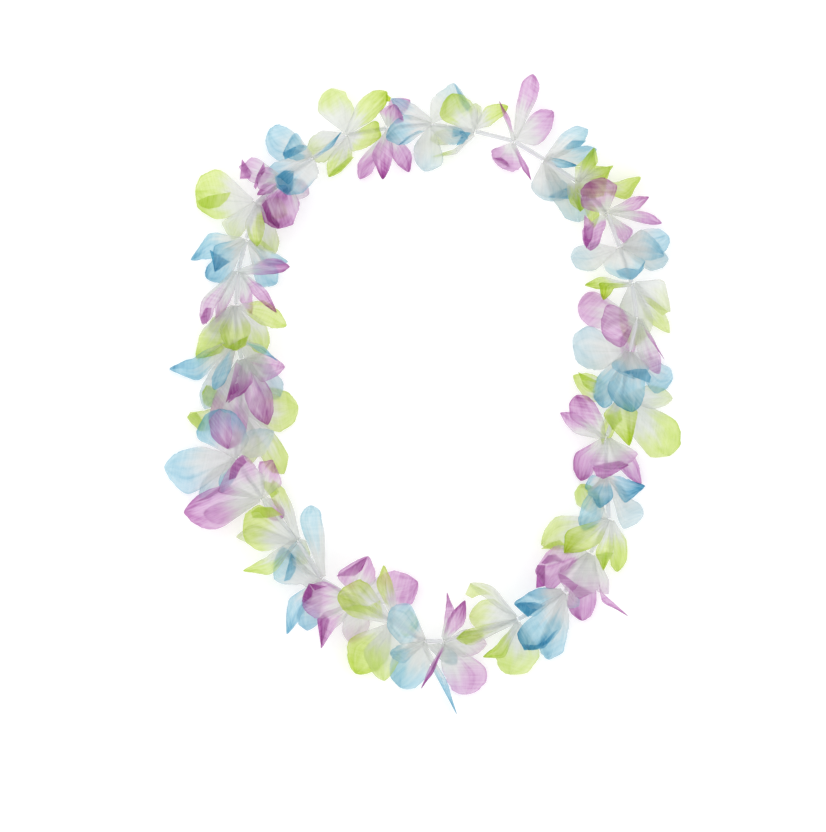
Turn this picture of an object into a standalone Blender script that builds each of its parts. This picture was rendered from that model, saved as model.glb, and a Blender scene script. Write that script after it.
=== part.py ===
"""Fabric flower lei lying in a loop on a table: 36 blooms of five petals on one string, with a straw spacer
between each bloom and the next. Sizes are in millimetres until a mesh is made. +Y is the top of the photo."""

import itertools
import math

import bmesh
import bpy
import numpy as np

PHOTO_PIXEL = 0.71  # one photo pixel on the table
PHOTO_MIDDLE = (422.07, 394.46)  # the photo's pixel over the origin

FABRIC = 0.7  # blade thickness, thicker than real cloth so that it stays a sound solid
PETAL_WIDTH = 32.0  # a petal pressed flat
NECK = 3.4  # width of a petal where it leaves the hub
ROOT_RADIUS = 2.4  # petals start inside the hub's disc
MIDWAY = 0.5  # of the way from root to shoulders
MIDWAY_WIDTH = 0.55  # of the shoulders' width
END_SIDE = 0.55  # of the way from shoulder to tip, where a petal's end bulges
END_MIDDLE = 0.62
ARCH = 0.12  # rise of a petal's middle for each millimetre that it looks narrower than it is
LEAST_ARCH = 0.5
RISING = (0.55, 0.9, 1.0)  # share of a petal's lift that its three rows have, where the tip is above the hub
FALLING = (0.75, 1.02, 1.0)  # and where it is below
LEANING = (0.4, 1.0, 0.6)  # share of its lean that they have

PETALS = 5  # of each bloom, evenly spaced round the hub
TURNS_TRIED = range(0, 360 // PETALS, 12)  # degrees by which a bloom may be turned round the string
ALONG_WEIGHT = 4  # a petal along the string leaves near its own way this much more strictly

STRING_HEIGHT = 14.0
STRING_SWAY = 1.2  # the string dips and rises this much
SWAY_STEP = 1.9  # radians from one hub to the next
STRING_RADIUS = 0.5
STRAW_RADIUS = 1.6
STRAW_PLAY = 0.4  # between a straw and the fabric of the blooms beside it
HUB_RADIUS = 3.3
HUB_LENGTH = 1.4
HUB_BORE = 0.95
STRAW_END = HUB_LENGTH / 2 + 0.7  # from the middle of a hub to the straw beside it
HUB_SIDES = 6
STRAW_SIDES = 5
STRING_SIDES = 4

HUB_MARKS = (-1, -0.5, 0, 0.5, 1)  # places across a hub that petals keep off, in hub radii
STRING_MARKS = (-2, -1, 1, 2)  # beside a hub, in millimetres
STRAW_MARKS = (0.08, 0.92, 9)  # between two hubs: the first and last as shares of the way, and their number

RESTING = 0.36  # height of a blade's middle where it lies on the table
TOUCHING = 0.25  # what comes this near the table lies flat on it
LYING = 4.5  # a petal with its tip below this lies down on the table
HIGHEST = 46.0
CLEARANCE = 0.4  # kept between stacked petals
OVERHANG = 0.9  # petals whose outlines come this near each other count as stacked
STEEPEST = 2.5  # most that a slope stretches the clearance over a petal
HOME = 22.0  # within this of its own hub a petal stays on its root's side of the string
RANK_STEP = 0.01  # a petal that has to lie over another ranks this much higher
TIE_STEP = 0.001  # of two tips at one height the later petal's is over the other
RANKING_ROUNDS = 6
SETTLING_ROUNDS = 900
SPRINGY_ROUNDS = 720  # in the last rounds petals only push
SLOPE_ROUNDS = 30  # after as many the slopes are measured again
OVERSHOOT = 1.3  # each push goes this much further than it needs to
STIFFNESS = 0.2  # share of a corner's shift that it takes from its neighbours
SPRING_BACK = 0.002  # share of its shift that a corner takes back in each round

# Each bloom: its colour, the photo pixel of its hub, and its petals. Each petal: photo pixels of its left
# shoulder, its tip and its right shoulder, then its tip's height and how much its right side stands over
# its left, both in millimetres, and how far its end bulges, in hundredths of the way from shoulder to tip.
BLOOMS = (
    ("purple", 514, 141, (
        (519, 97, 533, 74, 537, 95, 18, 5, 18),
        (538, 111, 554, 112, 541, 142, 12, -3, 12),
        (503, 116, 499, 102, 509, 118, 33, 9, 0),
        (492, 153, 504, 169, 520, 168, 1, 2, 14),
        (523, 170, 531, 181, 528, 168, 22, 8, 0),
    )),
    ("blue", 545, 160, (
        (565, 132, 588, 130, 574, 148, 27, -5, 16),
        (577, 147, 597, 149, 577, 164, 14, 4, 12),
        (562, 160, 577, 166, 560, 168, 22, 8, 4),
        (534, 191, 551, 201, 571, 192, 4, 2, 12),
        (557, 203, 579, 222, 592, 202, 1, -1, 16),
    )),
    ("green", 578, 182, (
        (583, 162, 594, 148, 597, 163, 30, -5, 6),
        (598, 168, 613, 166, 604, 179, 21, 4, 0),
        (615, 182, 641, 177, 627, 199, 10, -5, 4),
        (567, 187, 570, 203, 580, 210, 24, 4, 4),
        (586, 211, 594, 228, 599, 213, 19, 3, 6),
    )),
    ("purple", 607, 213, (
        (582, 204, 589, 182, 614, 186, 34, 4, 20),
        (583, 230, 590, 251, 602, 232, 20, 5, 16),
        (634, 197, 649, 197, 638, 209, 15, -5, 4),
        (646, 212, 662, 223, 648, 224, 8, 6, 8),
        (617, 233, 625, 243, 633, 230, 1, 2, 8),
    )),
    ("blue", 620, 248, (
        (587, 244, 571, 257, 590, 271, 3, 2, 20),
        (648, 229, 669, 236, 664, 251, 14, 5, 14),
        (643, 231, 664, 255, 648, 259, 21, -4, 10),
        (655, 250, 669, 259, 651, 270, 5, 3, 18),
        (604, 268, 630, 280, 644, 264, 28, -4, 12),
    )),
    ("green", 632, 284, (
        (601, 277, 585, 285, 602, 289, 10, -3, 4),
        (600, 283, 603, 300, 614, 288, 24, 6, 8),
        (663, 282, 670, 312, 649, 304, 29, -6, 4),
        (662, 308, 670, 333, 649, 320, 6, 5, 8),
        (620, 318, 634, 346, 653, 322, 11, 3, 14),
    )),
    ("purple", 637, 319, (
        (592, 292, 578, 307, 592, 326, 6, 3, 16),
        (607, 307, 601, 333, 619, 346, 22, -4, 10),
        (651, 336, 664, 360, 648, 338, 30, 9, 0),
        (639, 355, 659, 374, 657, 349, 16, -4, 12),
        (621, 341, 627, 360, 637, 341, 3, 2, 14),
    )),
    ("blue", 630, 352, (
        (586, 327, 573, 346, 592, 369, 3, 3, 20),
        (612, 367, 634, 379, 648, 370, 28, -4, 6),
        (663, 364, 673, 379, 655, 392, 9, 3, 18),
        (595, 382, 603, 408, 614, 393, 18, 4, 20),
        (608, 389, 632, 412, 643, 391, 20, -3, 16),
    )),
    ("green", 622, 396, (
        (588, 374, 573, 376, 588, 400, 14, -5, 8),
        (605, 416, 629, 446, 636, 416, 25, 5, 4),
        (638, 440, 670, 456, 677, 424, 3, 3, 22),
        (652, 386, 673, 398, 654, 408, 4, 2, 14),
        (603, 424, 603, 445, 615, 430, 6, -3, 10),
    )),
    ("purple", 606, 438, (
        (571, 417, 576, 395, 598, 411, 29, -4, 20),
        (574, 413, 560, 413, 574, 432, 16, 5, 6),
        (576, 455, 581, 481, 596, 463, 5, 3, 18),
        (592, 465, 612, 470, 636, 456, 25, -3, 8),
        (620, 468, 641, 485, 637, 461, 11, 5, 6),
    )),
    ("blue", 606, 477, (
        (588, 493, 599, 508, 611, 498, 33, 3, 6),
        (626, 480, 645, 486, 625, 502, 23, -5, 4),
        (629, 498, 644, 514, 623, 527, 5, 3, 16),
        (581, 508, 583, 530, 601, 517, 19, -4, 16),
        (590, 477, 585, 488, 594, 493, 12, 3, 6),
    )),
    ("green", 609, 520, (
        (577, 503, 581, 484, 598, 495, 10, 4, 16),
        (556, 519, 541, 545, 568, 547, 6, 3, 12),
        (567, 532, 564, 553, 594, 546, 26, -5, 6),
        (610, 556, 618, 572, 627, 545, 9, -4, 16),
        (596, 553, 603, 570, 612, 552, 20, 4, 2),
    )),
    ("purple", 590, 554, (
        (551, 549, 535, 571, 550, 588, 17, -3, 6),
        (558, 574, 574, 596, 597, 588, 28, 4, 10),
        (568, 603, 582, 621, 595, 607, 3, 3, 16),
        (602, 592, 628, 616, 602, 601, 22, 8, 0),
        (602, 566, 609, 594, 598, 590, 7, 3, 10),
    )),
    ("blue", 564, 593, (
        (534, 590, 514, 603, 532, 616, 29, 4, 4),
        (543, 588, 527, 594, 540, 600, 18, -3, 6),
        (518, 631, 529, 650, 555, 635, 24, -4, 16),
        (541, 642, 549, 660, 567, 634, 5, 3, 20),
        (577, 594, 579, 606, 569, 608, 8, 2, 12),
    )),
    ("green", 517, 620, (
        (493, 587, 470, 583, 485, 597, 30, 5, 10),
        (487, 599, 469, 616, 484, 632, 19, -3, 14),
        (478, 627, 456, 638, 472, 644, 27, 3, 12),
        (497, 645, 483, 657, 504, 657, 20, -4, 4),
        (497, 658, 510, 675, 538, 657, 4, 3, 18),
    )),
    ("purple", 444, 641, (
        (450, 616, 465, 600, 464, 622, 30, -6, 6),
        (446, 610, 447, 592, 454, 610, 22, 6, 0),
        (428, 670, 421, 688, 433, 672, 22, 8, 0),
        (447, 678, 466, 695, 486, 672, 5, 3, 20),
        (467, 630, 487, 644, 465, 656, 10, 3, 14),
    )),
    ("blue", 424, 641, (
        (408, 604, 389, 611, 397, 638, 29, -3, 18),
        (392, 661, 400, 688, 426, 676, 13, 4, 20),
        (436, 676, 457, 715, 446, 680, 6, 5, 0),
        (401, 645, 390, 653, 402, 663, 20, 2, 12),
        (444, 662, 457, 664, 452, 649, 4, -2, 14),
    )),
    ("green", 393, 622, (
        (362, 581, 338, 594, 346, 611, 30, 4, 14),
        (377, 584, 384, 565, 394, 590, 21, -5, 4),
        (349, 643, 356, 674, 382, 664, 5, 3, 14),
        (364, 653, 384, 681, 401, 648, 16, -3, 12),
        (409, 611, 418, 625, 406, 636, 6, 3, 14),
    )),
    ("purple", 356, 600, (
        (318, 582, 302, 601, 318, 617, 28, -3, 18),
        (321, 616, 321, 648, 335, 628, 21, 5, 0),
        (339, 573, 368, 556, 375, 576, 12, 5, 6),
        (393, 572, 418, 582, 411, 603, 6, -3, 8),
        (343, 624, 350, 643, 369, 626, 3, 2, 18),
    )),
    ("blue", 321, 579, (
        (301, 521, 311, 505, 322, 521, 19, 4, 18),
        (283, 548, 274, 579, 300, 583, 12, -3, 12),
        (289, 601, 287, 634, 303, 613, 22, 5, 4),
        (298, 614, 307, 631, 319, 613, 3, 2, 20),
        (299, 542, 287, 552, 297, 567, 5, 3, 14),
    )),
    ("green", 297, 540, (
        (271, 496, 273, 480, 290, 502, 20, -4, 10),
        (260, 506, 243, 530, 257, 547, 25, 3, 18),
        (252, 525, 236, 537, 252, 543, 7, 3, 6),
        (267, 557, 243, 571, 271, 574, 18, 5, 2),
        (306, 544, 308, 562, 297, 563, 4, 2, 14),
    )),
    ("purple", 262, 498, (
        (219, 487, 184, 512, 213, 528, 22, -3, 12),
        (220, 490, 242, 455, 258, 471, 29, 4, 8),
        (260, 463, 273, 460, 281, 481, 20, -5, 2),
        (222, 503, 203, 514, 222, 524, 10, 3, 12),
        (278, 504, 284, 517, 270, 519, 5, 2, 16),
    )),
    ("blue", 236, 458, (
        (187, 450, 164, 467, 188, 492, 7, 3, 12),
        (198, 434, 220, 409, 246, 432, 18, -3, 20),
        (249, 431, 274, 431, 265, 453, 12, 4, 8),
        (219, 480, 222, 493, 235, 478, 16, 3, 6),
        (207, 476, 199, 498, 222, 489, 1, 2, 12),
    )),
    ("green", 240, 410, (
        (204, 411, 187, 417, 204, 431, 7, 5, 10),
        (208, 386, 202, 397, 212, 408, 2, 2, 18),
        (272, 389, 298, 406, 281, 430, 5, 3, 16),
        (278, 440, 284, 474, 264, 462, 3, -2, 18),
        (242, 438, 251, 464, 259, 440, 2, 1, 16),
    )),
    ("purple", 242, 360, (
        (231, 390, 229, 403, 252, 383, 30, 6, 2),
        (265, 355, 285, 367, 264, 381, 17, -4, 10),
        (272, 396, 268, 425, 248, 405, 13, 4, 10),
        (211, 415, 228, 449, 246, 425, 22, -3, 20),
        (217, 391, 214, 409, 230, 396, 8, 3, 14),
    )),
    ("blue", 237, 340, (
        (194, 358, 169, 369, 198, 380, 12, -5, 4),
        (213, 376, 215, 390, 229, 374, 25, 5, 14),
        (263, 346, 278, 361, 262, 353, 24, 7, 0),
        (205, 380, 204, 409, 223, 388, 4, 2, 16),
        (273, 369, 280, 397, 260, 392, 2, 3, 20),
    )),
    ("green", 236, 306, (
        (201, 334, 196, 358, 222, 351, 10, -3, 6),
        (221, 333, 234, 351, 250, 331, 27, 4, 12),
        (268, 303, 287, 326, 266, 326, 14, -4, 12),
        (267, 328, 264, 355, 249, 343, 4, 3, 12),
        (216, 315, 209, 330, 224, 333, 3, 2, 14),
    )),
    ("purple", 238, 272, (
        (269, 259, 290, 267, 268, 274, 27, -4, 12),
        (256, 297, 277, 313, 266, 290, 19, 6, 4),
        (240, 300, 252, 315, 252, 293, 12, 6, 2),
        (216, 304, 216, 323, 231, 298, 5, -3, 4),
        (203, 300, 203, 325, 217, 305, 20, 4, 12),
    )),
    ("blue", 246, 240, (
        (209, 235, 191, 260, 213, 258, 15, -4, 2),
        (215, 247, 215, 272, 232, 260, 24, 5, 2),
        (210, 262, 206, 278, 226, 280, 5, 3, 16),
        (267, 250, 288, 262, 266, 265, 20, -5, 6),
        (271, 262, 277, 283, 258, 284, 6, 3, 16),
    )),
    ("green", 256, 203, (
        (215, 171, 195, 192, 214, 217, 12, -3, 20),
        (223, 222, 233, 240, 247, 225, 2, 2, 10),
        (246, 225, 257, 247, 264, 230, 20, 5, 10),
        (258, 232, 274, 254, 276, 229, 4, 3, 16),
        (277, 198, 287, 214, 272, 218, 3, -2, 14),
    )),
    ("purple", 284, 180, (
        (253, 158, 239, 167, 252, 182, 20, 4, 2),
        (266, 168, 257, 176, 259, 189, 29, -5, 6),
        (264, 184, 257, 195, 268, 194, 24, 3, 6),
        (262, 206, 278, 229, 298, 207, 15, -3, 22),
        (302, 180, 309, 194, 296, 198, 3, 2, 14),
    )),
    ("blue", 313, 158, (
        (284, 126, 268, 131, 274, 157, 5, 3, 20),
        (295, 134, 283, 155, 293, 159, 22, -5, 6),
        (279, 161, 268, 169, 283, 176, 12, 3, 14),
        (277, 177, 288, 196, 314, 180, 21, -3, 16),
        (330, 143, 342, 132, 333, 147, 30, 8, 0),
    )),
    ("green", 347, 135, (
        (319, 109, 331, 88, 352, 105, 5, 3, 18),
        (361, 101, 387, 92, 377, 115, 26, -4, 16),
        (376, 122, 381, 137, 356, 151, 20, 4, 8),
        (329, 159, 329, 177, 350, 160, 14, -5, 10),
        (317, 133, 307, 150, 322, 162, 3, 2, 16),
    )),
    ("purple", 388, 128, (
        (360, 160, 360, 179, 378, 160, 7, 3, 14),
        (373, 155, 383, 180, 392, 157, 27, -6, 6),
        (394, 160, 409, 172, 411, 154, 8, 5, 8),
        (381, 111, 395, 105, 403, 120, 29, 4, 8),
        (391, 100, 410, 100, 404, 113, 16, -3, 10),
    )),
    ("blue", 431, 124, (
        (412, 104, 391, 99, 407, 118, 22, 4, 10),
        (402, 117, 386, 138, 402, 145, 29, -4, 12),
        (414, 152, 424, 171, 442, 162, 13, 4, 14),
        (436, 96, 454, 83, 470, 106, 15, -4, 6),
        (460, 129, 468, 139, 450, 145, 20, 4, 6),
    )),
    ("green", 474, 131, (
        (441, 117, 452, 94, 474, 108, 27, -3, 16),
        (470, 109, 476, 103, 482, 113, 5, 2, 18),
        (487, 107, 508, 106, 493, 123, 14, -4, 12),
        (454, 149, 431, 157, 456, 154, 9, 4, 2),
        (447, 129, 430, 139, 448, 144, 5, 2, 14),
    )),
)

# A petal's corners: two at its neck, three rows of three, and its tip.
NECK_ENDS = (0, 1)
ROWS = ((2, 3, 4), (5, 6, 7), (8, 9, 10))
TIP = 11
CORNERS = 12
OUTLINE = (0, 2, 5, 8, TIP, 10, 7, 4, 1)


def blade_triangles():
    """Triangles of a petal's middle surface, alike on both sides of its centre line."""
    first, last = NECK_ENDS
    left, middle, right = ROWS[0]
    found = [(first, last, middle), (first, middle, left), (last, right, middle)]
    for near, far in itertools.pairwise(ROWS):
        found.append((near[0], near[1], far[1]))
        found.append((near[0], far[1], far[0]))
        found.append((near[1], near[2], far[1]))
        found.append((near[2], far[2], far[1]))
    left, middle, right = ROWS[-1]
    return np.array(found + [(left, middle, TIP), (middle, right, TIP)])


TRIANGLES = blade_triangles()
EDGES = np.array(sorted({tuple(sorted(pair)) for t in TRIANGLES for pair in itertools.combinations(t, 2)}))


def table_point(pixel_x, pixel_y):
    """The point of the table under a photo pixel."""
    return np.array(((pixel_x - PHOTO_MIDDLE[0]) * PHOTO_PIXEL, (PHOTO_MIDDLE[1] - pixel_y) * PHOTO_PIXEL))


def unit(vector):
    return vector / np.linalg.norm(vector)


def cross(first, second):
    """Twice the signed area between two vectors of the plan."""
    return first[..., 0] * second[..., 1] - first[..., 1] * second[..., 0]


# Where the string runs


def hub_places():
    """Each hub's middle, on a string that dips and rises a little."""
    places = []
    for number, (_, pixel_x, pixel_y, _) in enumerate(BLOOMS):
        height = STRING_HEIGHT + STRING_SWAY * math.sin(SWAY_STEP * number)
        places.append(np.array((*table_point(pixel_x, pixel_y), height)))
    return places


def string_directions(places):
    """The way the string runs through each hub."""
    directions = []
    for number, place in enumerate(places):
        after = places[(number + 1) % len(places)] - place
        before = place - places[number - 1]
        directions.append(unit(unit(after) + unit(before)))
    return directions


def sideways_of(direction):
    """Level, and square to the string."""
    return unit(np.array((-direction[1], direction[0])))


# Where each petal lies before it meets the others


def root_angles(direction, hub, petals):
    """Five even places round the hub, given to the petals so that each leaves near its own way."""
    across = sideways_of(direction)
    wanted, weights = [], []
    for petal in petals:
        sideways = unit(table_point(petal[2], petal[3]) - hub[:2]) @ across
        wanted.append(math.atan2(petal[6] / STRING_HEIGHT - 1, sideways))
        weights.append(1 + ALONG_WEIGHT * (1 - sideways**2))
    best = None
    for start in TURNS_TRIED:
        turns = [math.radians(start + 360 // PETALS * slot) for slot in range(PETALS)]
        for order in itertools.permutations(turns):
            miss = sum(w * (1 - math.cos(a - b)) for a, b, w in zip(order, wanted, weights))
            if best is None or miss < best[0]:
                best = (miss, order)
    return best[1]


def petal_wish(hub, petal, angle, across):
    """A petal's corners as the photo shows them from above, and the heights that it would like to have."""
    left, tip, right = (table_point(*petal[k : k + 2]) for k in (0, 2, 4))
    height, lean, bulge = petal[6:]
    if height < LYING:
        height = RESTING
    root = hub[:2] + across * ROOT_RADIUS * math.cos(angle)
    root_height = hub[2] + ROOT_RADIUS * math.sin(angle)
    if cross(left - root, right - root) > 0:
        left, right, lean = right, left, -lean
    shoulders = (left + right) / 2
    neck = sideways_of(shoulders - root) * NECK / 2
    points = np.zeros((CORNERS, 2))
    points[0] = root + neck
    points[1] = root - neck
    points[3] = root + (shoulders - root) * MIDWAY
    points[6] = shoulders
    points[9] = shoulders + (tip - shoulders) * END_MIDDLE
    points[TIP] = tip
    for shoulder, side in ((left, 0), (right, 2)):
        step = tip - shoulder
        outward = np.array((-step[1], step[0])) * bulge / 100
        if outward @ (shoulder - shoulders) < 0:
            outward = -outward
        points[2 + side] = points[3] + (shoulder - shoulders) * MIDWAY_WIDTH
        points[5 + side] = shoulder
        points[8 + side] = shoulder + step * END_SIDE + outward
    arch = ARCH * max(PETAL_WIDTH - np.linalg.norm(left - right), 0) + LEAST_ARCH
    lift = height - root_height
    rises = RISING if lift > 0 else FALLING
    heights = np.full(CORNERS, root_height)
    heights[TIP] = height
    for row, rise, share in zip(ROWS, rises, LEANING):
        heights[list(row)] += rise * lift + np.array((-lean * share / 2, arch, lean * share / 2))
    return points, np.maximum(heights, RESTING)


def petal_wishes(places, directions):
    """For every petal: its plan, wished heights, tip height, bloom and root angle."""
    plans, wishes, levels, owners, angles = [], [], [], [], []
    for number, (_, _, _, petals) in enumerate(BLOOMS):
        roots = root_angles(directions[number], places[number], petals)
        for petal, angle in zip(petals, roots):
            plan, heights = petal_wish(places[number], petal, angle, sideways_of(directions[number]))
            plans.append(plan)
            wishes.append(heights)
            levels.append(petal[6])
            owners.append(number)
            angles.append(angle)
    return np.array(plans), np.array(wishes), np.array(levels, float), np.array(owners), np.array(angles)


# Where petals meet each other and the string, seen from above


def widened(plan):
    """The plan with its outline pushed out, so that neighbours which only nearly meet still count."""
    wide = plan.copy()
    centre = plan.mean(axis=0)
    for corner in OUTLINE:
        wide[corner] += unit(plan[corner] - centre) * OVERHANG
    return wide


def weights_in(plan, points):
    """For each point, the triangles of the plan that hold it, as (point, corners, weights)."""
    a, b, c = (plan[TRIANGLES[:, corner]] for corner in range(3))
    spots = np.asarray(points)[:, None]
    whole = cross(b - a, c - a)
    whole = np.where(np.abs(whole) < 1e-6, np.nan, whole)
    first = cross(b - spots, c - spots) / whole
    second = cross(c - spots, a - spots) / whole
    shares = np.stack((first, second, 1 - first - second), axis=-1)
    inside = np.nan_to_num(shares.min(axis=-1), nan=-1) >= 0
    return [(spot, TRIANGLES[triangle], shares[spot, triangle]) for spot, triangle in np.argwhere(inside)]


def edge_crossings(first, second):
    """Where edges of two plans cross, as corners and weights on the one and on the other."""
    a, b = first[EDGES[:, 0]], first[EDGES[:, 1]]
    c, d = second[EDGES[:, 0]], second[EDGES[:, 1]]
    area = cross((b - a)[:, None], (d - c)[None])
    area = np.where(np.abs(area) < 1e-9, np.nan, area)
    gap = c[None] - a[:, None]
    t = cross(gap, (d - c)[None]) / area
    u = cross(gap, (b - a)[:, None]) / area
    inner = np.minimum(np.minimum(t, 1 - t), np.minimum(u, 1 - u))
    hits = np.argwhere(np.nan_to_num(inner, nan=-1) > 0)
    return [(EDGES[i], (1 - t[i, j], t[i, j]), EDGES[j], (1 - u[i, j], u[i, j])) for i, j in hits]


def stacking_ranks(plans, levels, owners, places):
    """Who lies over whom: by tip height, but a petal over another bloom's hub lies over that whole bloom."""
    ranks = levels + TIE_STEP * np.arange(len(levels))
    lows, highs = plans.min(axis=1), plans.max(axis=1)
    rules = []
    for petal, plan in enumerate(plans):
        for number, place in enumerate(places):
            if owners[petal] == number or not weights_in(plan, [place[:2]]):
                continue
            for other in np.flatnonzero(owners == number):
                if (lows[other] < highs[petal]).all() and (lows[petal] < highs[other]).all():
                    rules.append((petal, other) if levels[petal] > STRING_HEIGHT else (other, petal))
    for _ in range(RANKING_ROUNDS):
        for over, under in rules:
            if ranks[over] <= ranks[under]:
                ranks[over] = ranks[under] + RANK_STEP
    return ranks


class Contacts:
    """Sums of weighted corner heights that have to reach a limit, one for each place where things overlap."""

    def __init__(self):
        self.corners, self.weights, self.limits = [], [], []

    def add(self, over, under, limit=0.0):
        """Each side is (petal, corners, weights), or None where the limit stands for a fixed height."""
        corners, weights = np.zeros(6, int), np.zeros(6)
        for sign, start, side in ((1, 0, over), (-1, 3, under)):
            if side is not None:
                petal, found, shares = side
                corners[start : start + len(found)] = petal * CORNERS + np.asarray(found)
                weights[start : start + len(found)] = sign * np.asarray(shares)
        self.corners.append(corners)
        self.weights.append(weights)
        self.limits.append(limit)


def add_petal_contacts(contacts, plans, ranks, owners):
    wide = np.array([widened(plan) for plan in plans])
    lows, highs = wide.min(axis=1), wide.max(axis=1)
    for one, other in itertools.combinations(range(len(plans)), 2):
        if (lows[one] > highs[other]).any() or (lows[other] > highs[one]).any():
            continue
        found = []
        for corner, corners, shares in weights_in(wide[other], wide[one]):
            found.append(((one, [corner], [1.0]), (other, corners, shares)))
        for corner, corners, shares in weights_in(wide[one], wide[other]):
            found.append(((one, corners, shares), (other, [corner], [1.0])))
        for edge, shares, crossed, parts in edge_crossings(wide[one], wide[other]):
            found.append(((one, edge, shares), (other, crossed, parts)))
        if owners[one] == owners[other]:
            found = [pair for pair in found if min(*pair[0][1], *pair[1][1]) > max(NECK_ENDS)]
        for first, second in found:
            contacts.add(*((first, second) if ranks[one] > ranks[other] else (second, first)))


def string_marks(places, directions):
    """Points of hubs, string and straws, each with the height it takes up and the bloom it belongs to."""
    marks = []
    for number, place in enumerate(places):
        after = places[(number + 1) % len(places)]
        across = np.array((*sideways_of(directions[number]), 0.0))
        for side in HUB_MARKS:
            marks.append((place + across * HUB_RADIUS * side, HUB_RADIUS + CLEARANCE, number))
        for step in STRING_MARKS:
            marks.append((place + directions[number] * step, STRING_RADIUS + CLEARANCE, None))
        for share in np.linspace(*STRAW_MARKS):
            for side in (-1, 0, 1):
                point = place + (after - place) * share + across * (STRAW_RADIUS + CLEARANCE) * side
                marks.append((point, STRAW_RADIUS + CLEARANCE / 2, None))
    return marks


def add_string_contacts(contacts, plans, levels, owners, angles, places, directions):
    """Keeps each petal off the hubs, straws and string that it passes over or under."""
    marks = string_marks(places, directions)
    for petal, plan in enumerate(plans):
        for point, radius, own in marks:
            if owners[petal] == own:
                continue
            at_home = np.linalg.norm(point - places[owners[petal]]) < HOME
            above = math.sin(angles[petal]) > 0 if at_home else levels[petal] > STRING_HEIGHT
            for _, corners, shares in weights_in(plan, [point[:2]]):
                side = (petal, corners, shares)
                if above:
                    contacts.add(side, None, point[2] + radius)
                else:
                    contacts.add(None, side, radius - point[2])


# How the petals settle on each other


def steepness(plans, heights):
    """How much a petal's slope stretches its thickness upward, at each corner."""
    corners = np.concatenate([plans, heights[..., None]], axis=2)[:, TRIANGLES]
    normals = np.cross(corners[:, :, 1] - corners[:, :, 0], corners[:, :, 2] - corners[:, :, 0])
    ratio = np.linalg.norm(normals, axis=2) / np.maximum(np.abs(normals[..., 2]), 1e-6)
    stretch = np.ones(heights.shape)
    for index, triangle in enumerate(TRIANGLES):
        for corner in triangle:
            stretch[:, corner] = np.maximum(stretch[:, corner], ratio[:, index])
    return np.minimum(stretch, STEEPEST)


def neighbour_average():
    """Averages a corner's shift with its neighbours'. The neck stays where it is."""
    matrix = np.zeros((CORNERS, CORNERS))
    for first, second in EDGES:
        matrix[first, second] = matrix[second, first] = 1
    matrix /= matrix.sum(axis=1, keepdims=True)
    matrix[list(NECK_ENDS)] = 0
    return matrix


def settled_heights(plans, wishes, contacts):
    """Lets every petal give way up or down until it clears what it overlaps."""
    corners, weights, limits = map(np.array, (contacts.corners, contacts.weights, contacts.limits))
    free = np.ones(CORNERS)
    free[list(NECK_ENDS)] = 0
    moving = np.tile(free, len(plans))[corners]
    pull = np.abs(weights) * moving
    strength = np.maximum((weights**2 * moving).sum(axis=1), 1e-6)
    average = neighbour_average()
    heights = wishes.copy()
    for turn in range(SETTLING_ROUNDS):
        if turn % SLOPE_ROUNDS == 0:
            stretch = steepness(plans, heights).reshape(-1)
            needed = limits + CLEARANCE + FABRIC / 2 * (np.abs(weights) * stretch[corners]).sum(axis=1)
        short = needed - (weights * heights.reshape(-1)[corners]).sum(axis=1)
        active = short > 0
        step = (short / strength)[active, None] * weights[active] * moving[active]
        push, total = np.zeros(heights.size), np.zeros(heights.size)
        np.add.at(push, corners[active], step * pull[active])
        np.add.at(total, corners[active], pull[active])
        heights = heights + OVERSHOOT * (push / np.maximum(total, 1e-6)).reshape(heights.shape)
        if turn < SPRINGY_ROUNDS:
            shift = (heights - wishes) * free
            shift = shift * (1 - STIFFNESS - SPRING_BACK) + STIFFNESS * shift @ average.T
            heights = wishes + shift
        heights = np.clip(heights, RESTING, HIGHEST)
    return heights


# Solids


def corner_normals(points):
    """Unit normals of a petal's corners, all on its upper side."""
    normals = np.zeros(points.shape)
    for triangle in TRIANGLES:
        a, b, c = points[triangle]
        facing = np.cross(b - a, c - a)
        if facing.any():
            normals[triangle] += unit(facing)
    normals /= np.maximum(np.linalg.norm(normals, axis=1, keepdims=True), 1e-6)
    return normals if normals[:, 2].sum() > 0 else -normals


def mesh_object(name, points, faces):
    """A closed mesh facing out, from points in millimetres."""
    mesh = bpy.data.meshes.new(name)
    mesh.from_pydata((np.asarray(points) / 1000).tolist(), [], faces)
    shape = bmesh.new()
    shape.from_mesh(mesh)
    bmesh.ops.triangulate(shape, faces=shape.faces)
    bmesh.ops.recalc_face_normals(shape, faces=shape.faces)
    shape.to_mesh(mesh)
    shape.free()
    made = bpy.data.objects.new(name, mesh)
    bpy.context.scene.collection.objects.link(made)
    return made


def blade(name, plan, heights):
    """A petal as a solid blade, both faces split alike. What nearly touches the table lies flat on it."""
    middle = np.column_stack((plan, heights))
    normals = corner_normals(middle)
    upper = middle + normals * FABRIC / 2
    lower = middle - normals * FABRIC / 2
    lower[lower[:, 2] < TOUCHING, 2] = 0
    faces = [tuple(int(corner) for corner in triangle) for triangle in TRIANGLES]
    faces += [tuple(corner + CORNERS for corner in reversed(face)) for face in faces]
    for first, second in zip(OUTLINE, OUTLINE[1:] + OUTLINE[:1]):
        faces.append((first, first + CORNERS, second + CORNERS, second))
    return mesh_object(name, np.vstack((upper, lower)), faces)


def circle(middle, along, radius, sides):
    """Points round a middle, square to the way along."""
    across = np.array((*sideways_of(along), 0.0))
    up = np.cross(along, across)
    turns = [2 * math.pi * (side + 0.5) / sides for side in range(sides)]
    return [middle + radius * (math.cos(turn) * across + math.sin(turn) * up) for turn in turns]


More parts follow.
